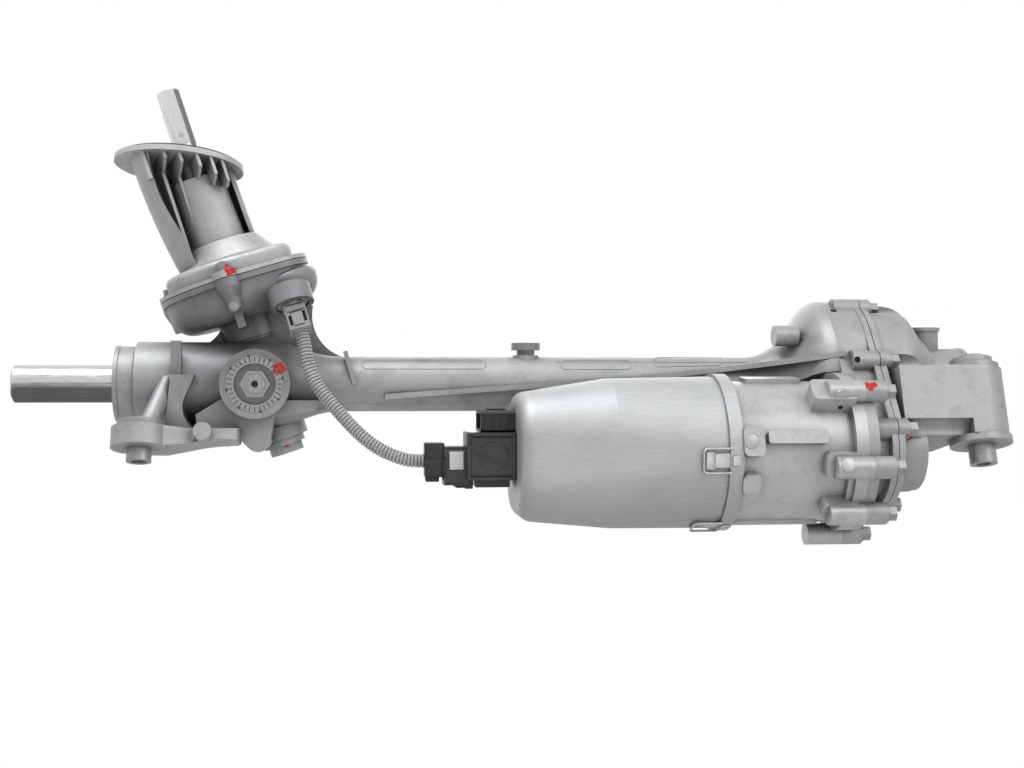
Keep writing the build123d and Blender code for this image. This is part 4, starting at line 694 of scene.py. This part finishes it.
PLUG_WALLS = (
    ((197.4, -53.4, 62), (211.4, -41.9, 79.7), 1.0),
    ((197.4, -66.3, 62), (209.8, -54.8, 79.7), 1.0),
    ((198.2, -69.6, 63), (207.6, -65.8, 77.4), 0.8),
    ((211.0, -47.4, 60), (228.3, -44.6, 81.4), 0.7),
)
PLUG_LEVER = [
    (210.4, -65.4), (213.8, -65.4), (222.2, -71.6), (226.4, -71.6), (226.4, -74.0), (220.6, -74.2),
    (210.4, -68.4),
]
LEVER_TIP = ((226.0, -74.6, 65), (231.6, -67.6, 79.4), 0.6)
PLUG_RIBS = [((211.6, -66.4 + 6.0 * k, 81.6), (213.0, -62.4 + 6.0 * k, 82.5), 0.3) for k in range(3)]

LABEL = ((214.8, -60.6, 81.9), (224.6, -47.9, 82.22), 0.12)

POWER_RAILS = [((238.0, v - 0.7, 79.6), (261.0, v + 0.7, 80.9), 0.35) for v in (-21.4, -32.4)]
POWER_RIBS = [((239.5 + 5.6 * k, -32.0, 79.7), (240.6 + 5.6 * k, -21.8, 80.6), 0.3) for k in range(4)]
POWER_LATCH = ((243.0, -19.4, 55), (256.0, -17.6, 70), 0.6)


def make_connectors():
    """The moulded detail on the control unit's connectors and the harness plug."""
    bm = bmesh.new()
    slabs(bm, (*CONNECTOR_WALLS, *CONNECTOR_GRIP))
    turned(bm, CONNECTOR_RING, GEAR @ Matrix.Translation(RING_PLACE), 56)
    prism(bm, CONNECTOR_MARK, 87.8, 88.7, 0.3)
    piece("connector_detail", bm, "black_worn")

    bm = bmesh.new()
    slabs(bm, PLUG_WALLS)
    prism(bm, PLUG_LEVER, 63, 77, 0.4)
    slabs(bm, (LEVER_TIP, *PLUG_RIBS))
    piece("harness_plug_detail", bm, "black")

    slab_piece("blank_label", (LABEL,), "label")
    slab_piece("power_connector_detail", (*POWER_RAILS, *POWER_RIBS, POWER_LATCH), "black")


make_connectors()

# the sensor plug's frame: its front, its right side and the way into the socket
PLUG_FRAME = GEAR @ Matrix(
    (
        (0.0, 0.9613, -0.2755, 0.1094),
        (0.3270, 0.2604, 0.9085, 0.0379),
        (0.9450, -0.0901, -0.3143, 0.0420),
        (0, 0, 0, 1),
    )
)
SENSOR_LOCK = (
    ((8.2, -3.9, 2.6), (9.7, 3.9, 12.4), 0.5),
    ((8.2, -6.9, 14.2), (9.5, 6.9, 18.2), 0.5),
    ((8.2, -7.7, 1.6), (9.1, -6.6, 18.6), 0.3),
    ((8.2, 6.6, 1.6), (9.1, 7.7, 18.6), 0.3),
    ((-8.9, -7.9, 0.1), (9.0, 7.9, 1.9), 0.5),
)
# painted shadow: thin near-black plates stand for the shade inside the plug's slots
SENSOR_SLOT_SHADOWS = (
    ((8.2, -6.3, 3.4), (8.62, -4.3, 10.8), 0.15),
    ((8.2, 4.3, 4.6), (8.62, 6.3, 12.6), 0.15),
    ((8.2, -6.6, 18.5), (8.62, 6.6, 19.3), 0.15),
    ((8.2, -5.0, 13.0), (8.62, 5.0, 13.6), 0.15),
)
SENSOR_FLANGE = [(0, 22.2), (11.2, 22.2), (11.7, 22.7), (11.7, 24.0), (0, 24.0)]


def make_sensor_plug():
    """The lock, painted slot shadows and flange of the grey sensor plug."""
    slab_piece("sensor_plug_lock", SENSOR_LOCK, "light_grey", PLUG_FRAME)
    slab_piece("sensor_plug_slot_shadows", SENSOR_SLOT_SHADOWS, "shadow", PLUG_FRAME)
    bm = bmesh.new()
    turned(bm, SENSOR_FLANGE, PLUG_FRAME, 48)
    piece("sensor_plug_flange", bm, "light_grey")


make_sensor_plug()

# the wire clips stand at these angles about the motor's axis
MOTOR_AXIS = (0, -0.050, 0.066)
CLIP_ANGLES = (3.5, 66)
CLIP_TONGUE = (
    ((396.5, -5.2, 55.6), (409.5, 5.2, 56.9), 0.45),
    ((390.5, -6.4, 55.4), (396.8, 6.4, 56.3), 0.4),
    ((409.0, -3.6, 57.2), (415.5, 3.6, 58.5), 0.5),
)


def make_clip_tongues():
    """The sprung tongues under the wire clips."""
    for number, angle in enumerate(CLIP_ANGLES):
        turn = Matrix.Rotation(math.radians(angle), 4, "X")
        place = GEAR @ Matrix.Translation(MOTOR_AXIS) @ turn
        slab_piece(f"clip_tongue_{number + 1}", CLIP_TONGUE, "steel", place)


make_clip_tongues()


# cast spots, and near-black discs that are painted shadow in holes and recesses: name, node, picture point,
# radii and heights in millimetres, material

CAST_SPOT = [(0, 0.7), (4.2, 0.7), (4.9, 0.45), (5.2, -0.4)]
SMALL_SPOT = [(0, 0.6), (2.9, 0.6), (3.5, 0.3), (3.7, -0.4)]
DARK_SPOT = [(0, 0.06), (1.9, 0.06), (2.0, -0.3)]
BOSS_RECESS_SHADOW = [(0, 0.08), (2.6, 0.08), (2.7, -0.3)]
EYE_RECESS_SHADOW = [(0, 0.08), (2.3, 0.08), (2.4, -0.3)]
SPOTS = (
    ("cast_spot_1", "motor_housing", 842.5, 396, CAST_SPOT, "motor"),
    ("cast_spot_2", "motor_housing", 751.5, 441.5, CAST_SPOT, "motor"),
    ("cast_spot_3", "motor_housing", 848.5, 465, CAST_SPOT, "motor"),
    ("lug_hole", "motor_housing", 840.4, 407.5, DARK_SPOT, "shadow"),
    ("boss_recess", "main_housing", 833.5, 310.5, BOSS_RECESS_SHADOW, "shadow"),
    ("column_tip", "main_housing", 233.7, 306.5, SMALL_SPOT, "cast"),
    ("eye_recess", "main_housing", 857.5, 359.5, EYE_RECESS_SHADOW, "shadow"),
)
# touches of paint, and near-black patches that are painted shadow in notches: name, node, picture point,
# reach in pixels, material, edge's shape
DABS = (
    ("paint_yoke", "yoke_plug", 278.5, 369.0, 9.5, 7.5, "paint", 0.7),
    ("paint_yoke_rim", "main_housing", 280.5, 368.0, 8.5, 7.0, "paint", 0.7),
    ("paint_tower_boss", "tower_cover", 230.5, 270.5, 8.5, 6.5, "paint", 2.2),
    ("paint_tower_screw", "tower_bolts", 228.5, 268.5, 7.0, 6.0, "paint", 2.2),
    ("paint_tower_edge", "tower_cover", 237, 277.5, 2.6, 1.6, "paint", 1.3),
    ("paint_motor_lug", "main_housing", 871, 386, 8.5, 5.5, "paint", 3.1),
    ("paint_case_bolt", "end_housing", 910, 436, 4.0, 3.0, "paint", 4.0),
    ("paint_low_bolt", "end_housing", 893, 513, 3.5, 3.2, "paint", 5.3),
    ("paint_plug_hex", "pinion_plug", 287.5, 446, 3.6, 1.6, "paint", 0.2),
    ("paint_connector", "connector_block", 480.4, 450.3, 2.0, 2.2, "yellow", 1.9),
    ("cover_notch_1", "tower_cover", 254.8, 271.4, 3.0, 1.3, "shadow", 0.4),
    ("cover_notch_2", "tower_cover", 280.3, 264.3, 1.5, 1.1, "shadow", 2.4),
)
# the raised frames on the tube, which stay bare: left, right, top, bottom and slope in the picture
FRAMES = (
    (362.5, 486.0, 360.0, 369.0, 0.0),
    (560.5, 631.5, 360.4, 369.4, 0.0),
    (654.0, 722.0, 357.8, 366.8, -0.02),
)

for row in SPOTS:
    spot(*row)
for row in DABS:
    dab(*row)
for number, row in enumerate(FRAMES):
    ridge(f"cartouche_{number + 1}", "main_housing", stadium(*row))


# stage and light

FLOOR_Z = -0.55
FLOOR_SEEN = 0.8
DOME_STRENGTH = 0.24


def make_stage():
    """A plain pale floor, well below the part, which hangs from its left mounting."""
    mesh = bpy.data.meshes.new("floor")
    corners = [(-4, -4, FLOOR_Z), (5, -4, FLOOR_Z), (5, 4, FLOOR_Z), (-4, 4, FLOOR_Z)]
    mesh.from_pydata(corners, [], [(0, 1, 2, 3)])
    floor = bpy.data.objects.new("floor", mesh)
    bpy.context.scene.collection.objects.link(floor)
    material, nodes, shader, where = new_material("pale_floor", 0.0, 0.7)
    shade = nodes.noise(where, 3, 2)
    nodes.link(nodes.ramp(shade, grey(0.86), grey(0.90)), shader.inputs["Base Color"])
    seen = nodes.add("ShaderNodeEmission", Color=(1, 1, 1, 1), Strength=1.0)
    choice = nodes.add("ShaderNodeMixShader")
    share = nodes.span(nodes.add("ShaderNodeLightPath").outputs["Is Camera Ray"], 0.0, FLOOR_SEEN)
    nodes.link(share, choice.inputs[0])
    nodes.link(shader.outputs[0], choice.inputs[1])
    nodes.link(seen.outputs[0], choice.inputs[2])
    nodes.link(choice.outputs[0], material.node_tree.nodes["Material Output"].inputs["Surface"])
    mesh.materials.append(material)


def make_world():
    """White where the camera, metal and glass see it, a soft studio dome elsewhere."""
    world = bpy.data.worlds.new("studio")
    bpy.context.scene.world = world
    world.use_nodes = True
    nodes = Nodes(world.node_tree)
    world.node_tree.nodes.clear()
    path = nodes.add("ShaderNodeLightPath")
    seen = nodes.add("ShaderNodeBackground", Color=(1, 1, 1, 1), Strength=1.0)
    dome = nodes.add("ShaderNodeBackground", Color=(1, 1, 1, 1), Strength=DOME_STRENGTH)
    choice = nodes.add("ShaderNodeMixShader")
    shown = path.outputs["Is Camera Ray"]
    for kind in ("Is Glossy Ray", "Is Transmission Ray"):
        either = nodes.add("ShaderNodeMath", operation="MAXIMUM")
        nodes.link(shown, either.inputs[0])
        nodes.link(path.outputs[kind], either.inputs[1])
        shown = either.outputs[0]
    nodes.link(shown, choice.inputs[0])
    nodes.link(dome.outputs[0], choice.inputs[1])
    nodes.link(seen.outputs[0], choice.inputs[2])
    out = nodes.add("ShaderNodeOutputWorld")
    nodes.link(choice.outputs[0], out.inputs["Surface"])


# lamps: name, place, width and height in metres, and power in watts
LAMPS = (
    ("key_lamp", (-0.2, -0.6, 1.3), 1.2, 0.6, 14.5),
    ("fill_lamp", (1.2, -1.1, 0.6), 0.8, 0.8, 5),
    ("low_lamp", (0.3, -1.0, -0.45), 1.0, 0.4, 1.5),
    ("back_lamp", (0.5, 1.3, 0.9), 1.0, 1.0, 6),
)


def area_light(name, place, width, height, power):
    """A soft rectangular lamp aimed at the view's centre."""
    data = bpy.data.lights.new(name, "AREA")
    data.shape = "RECTANGLE"
    data.size = width
    data.size_y = height
    data.energy = power
    lamp = bpy.data.objects.new(name, data)
    bpy.context.scene.collection.objects.link(lamp)
    direction = VIEW_CENTRE - Vector(place)
    lamp.rotation_euler = direction.to_track_quat("-Z", "Y").to_euler()
    lamp.location = place


make_stage()
make_world()
for row in LAMPS:
    area_light(*row)

bpy.context.scene.view_settings.view_transform = "Standard"

bpy.context.view_layer.update()
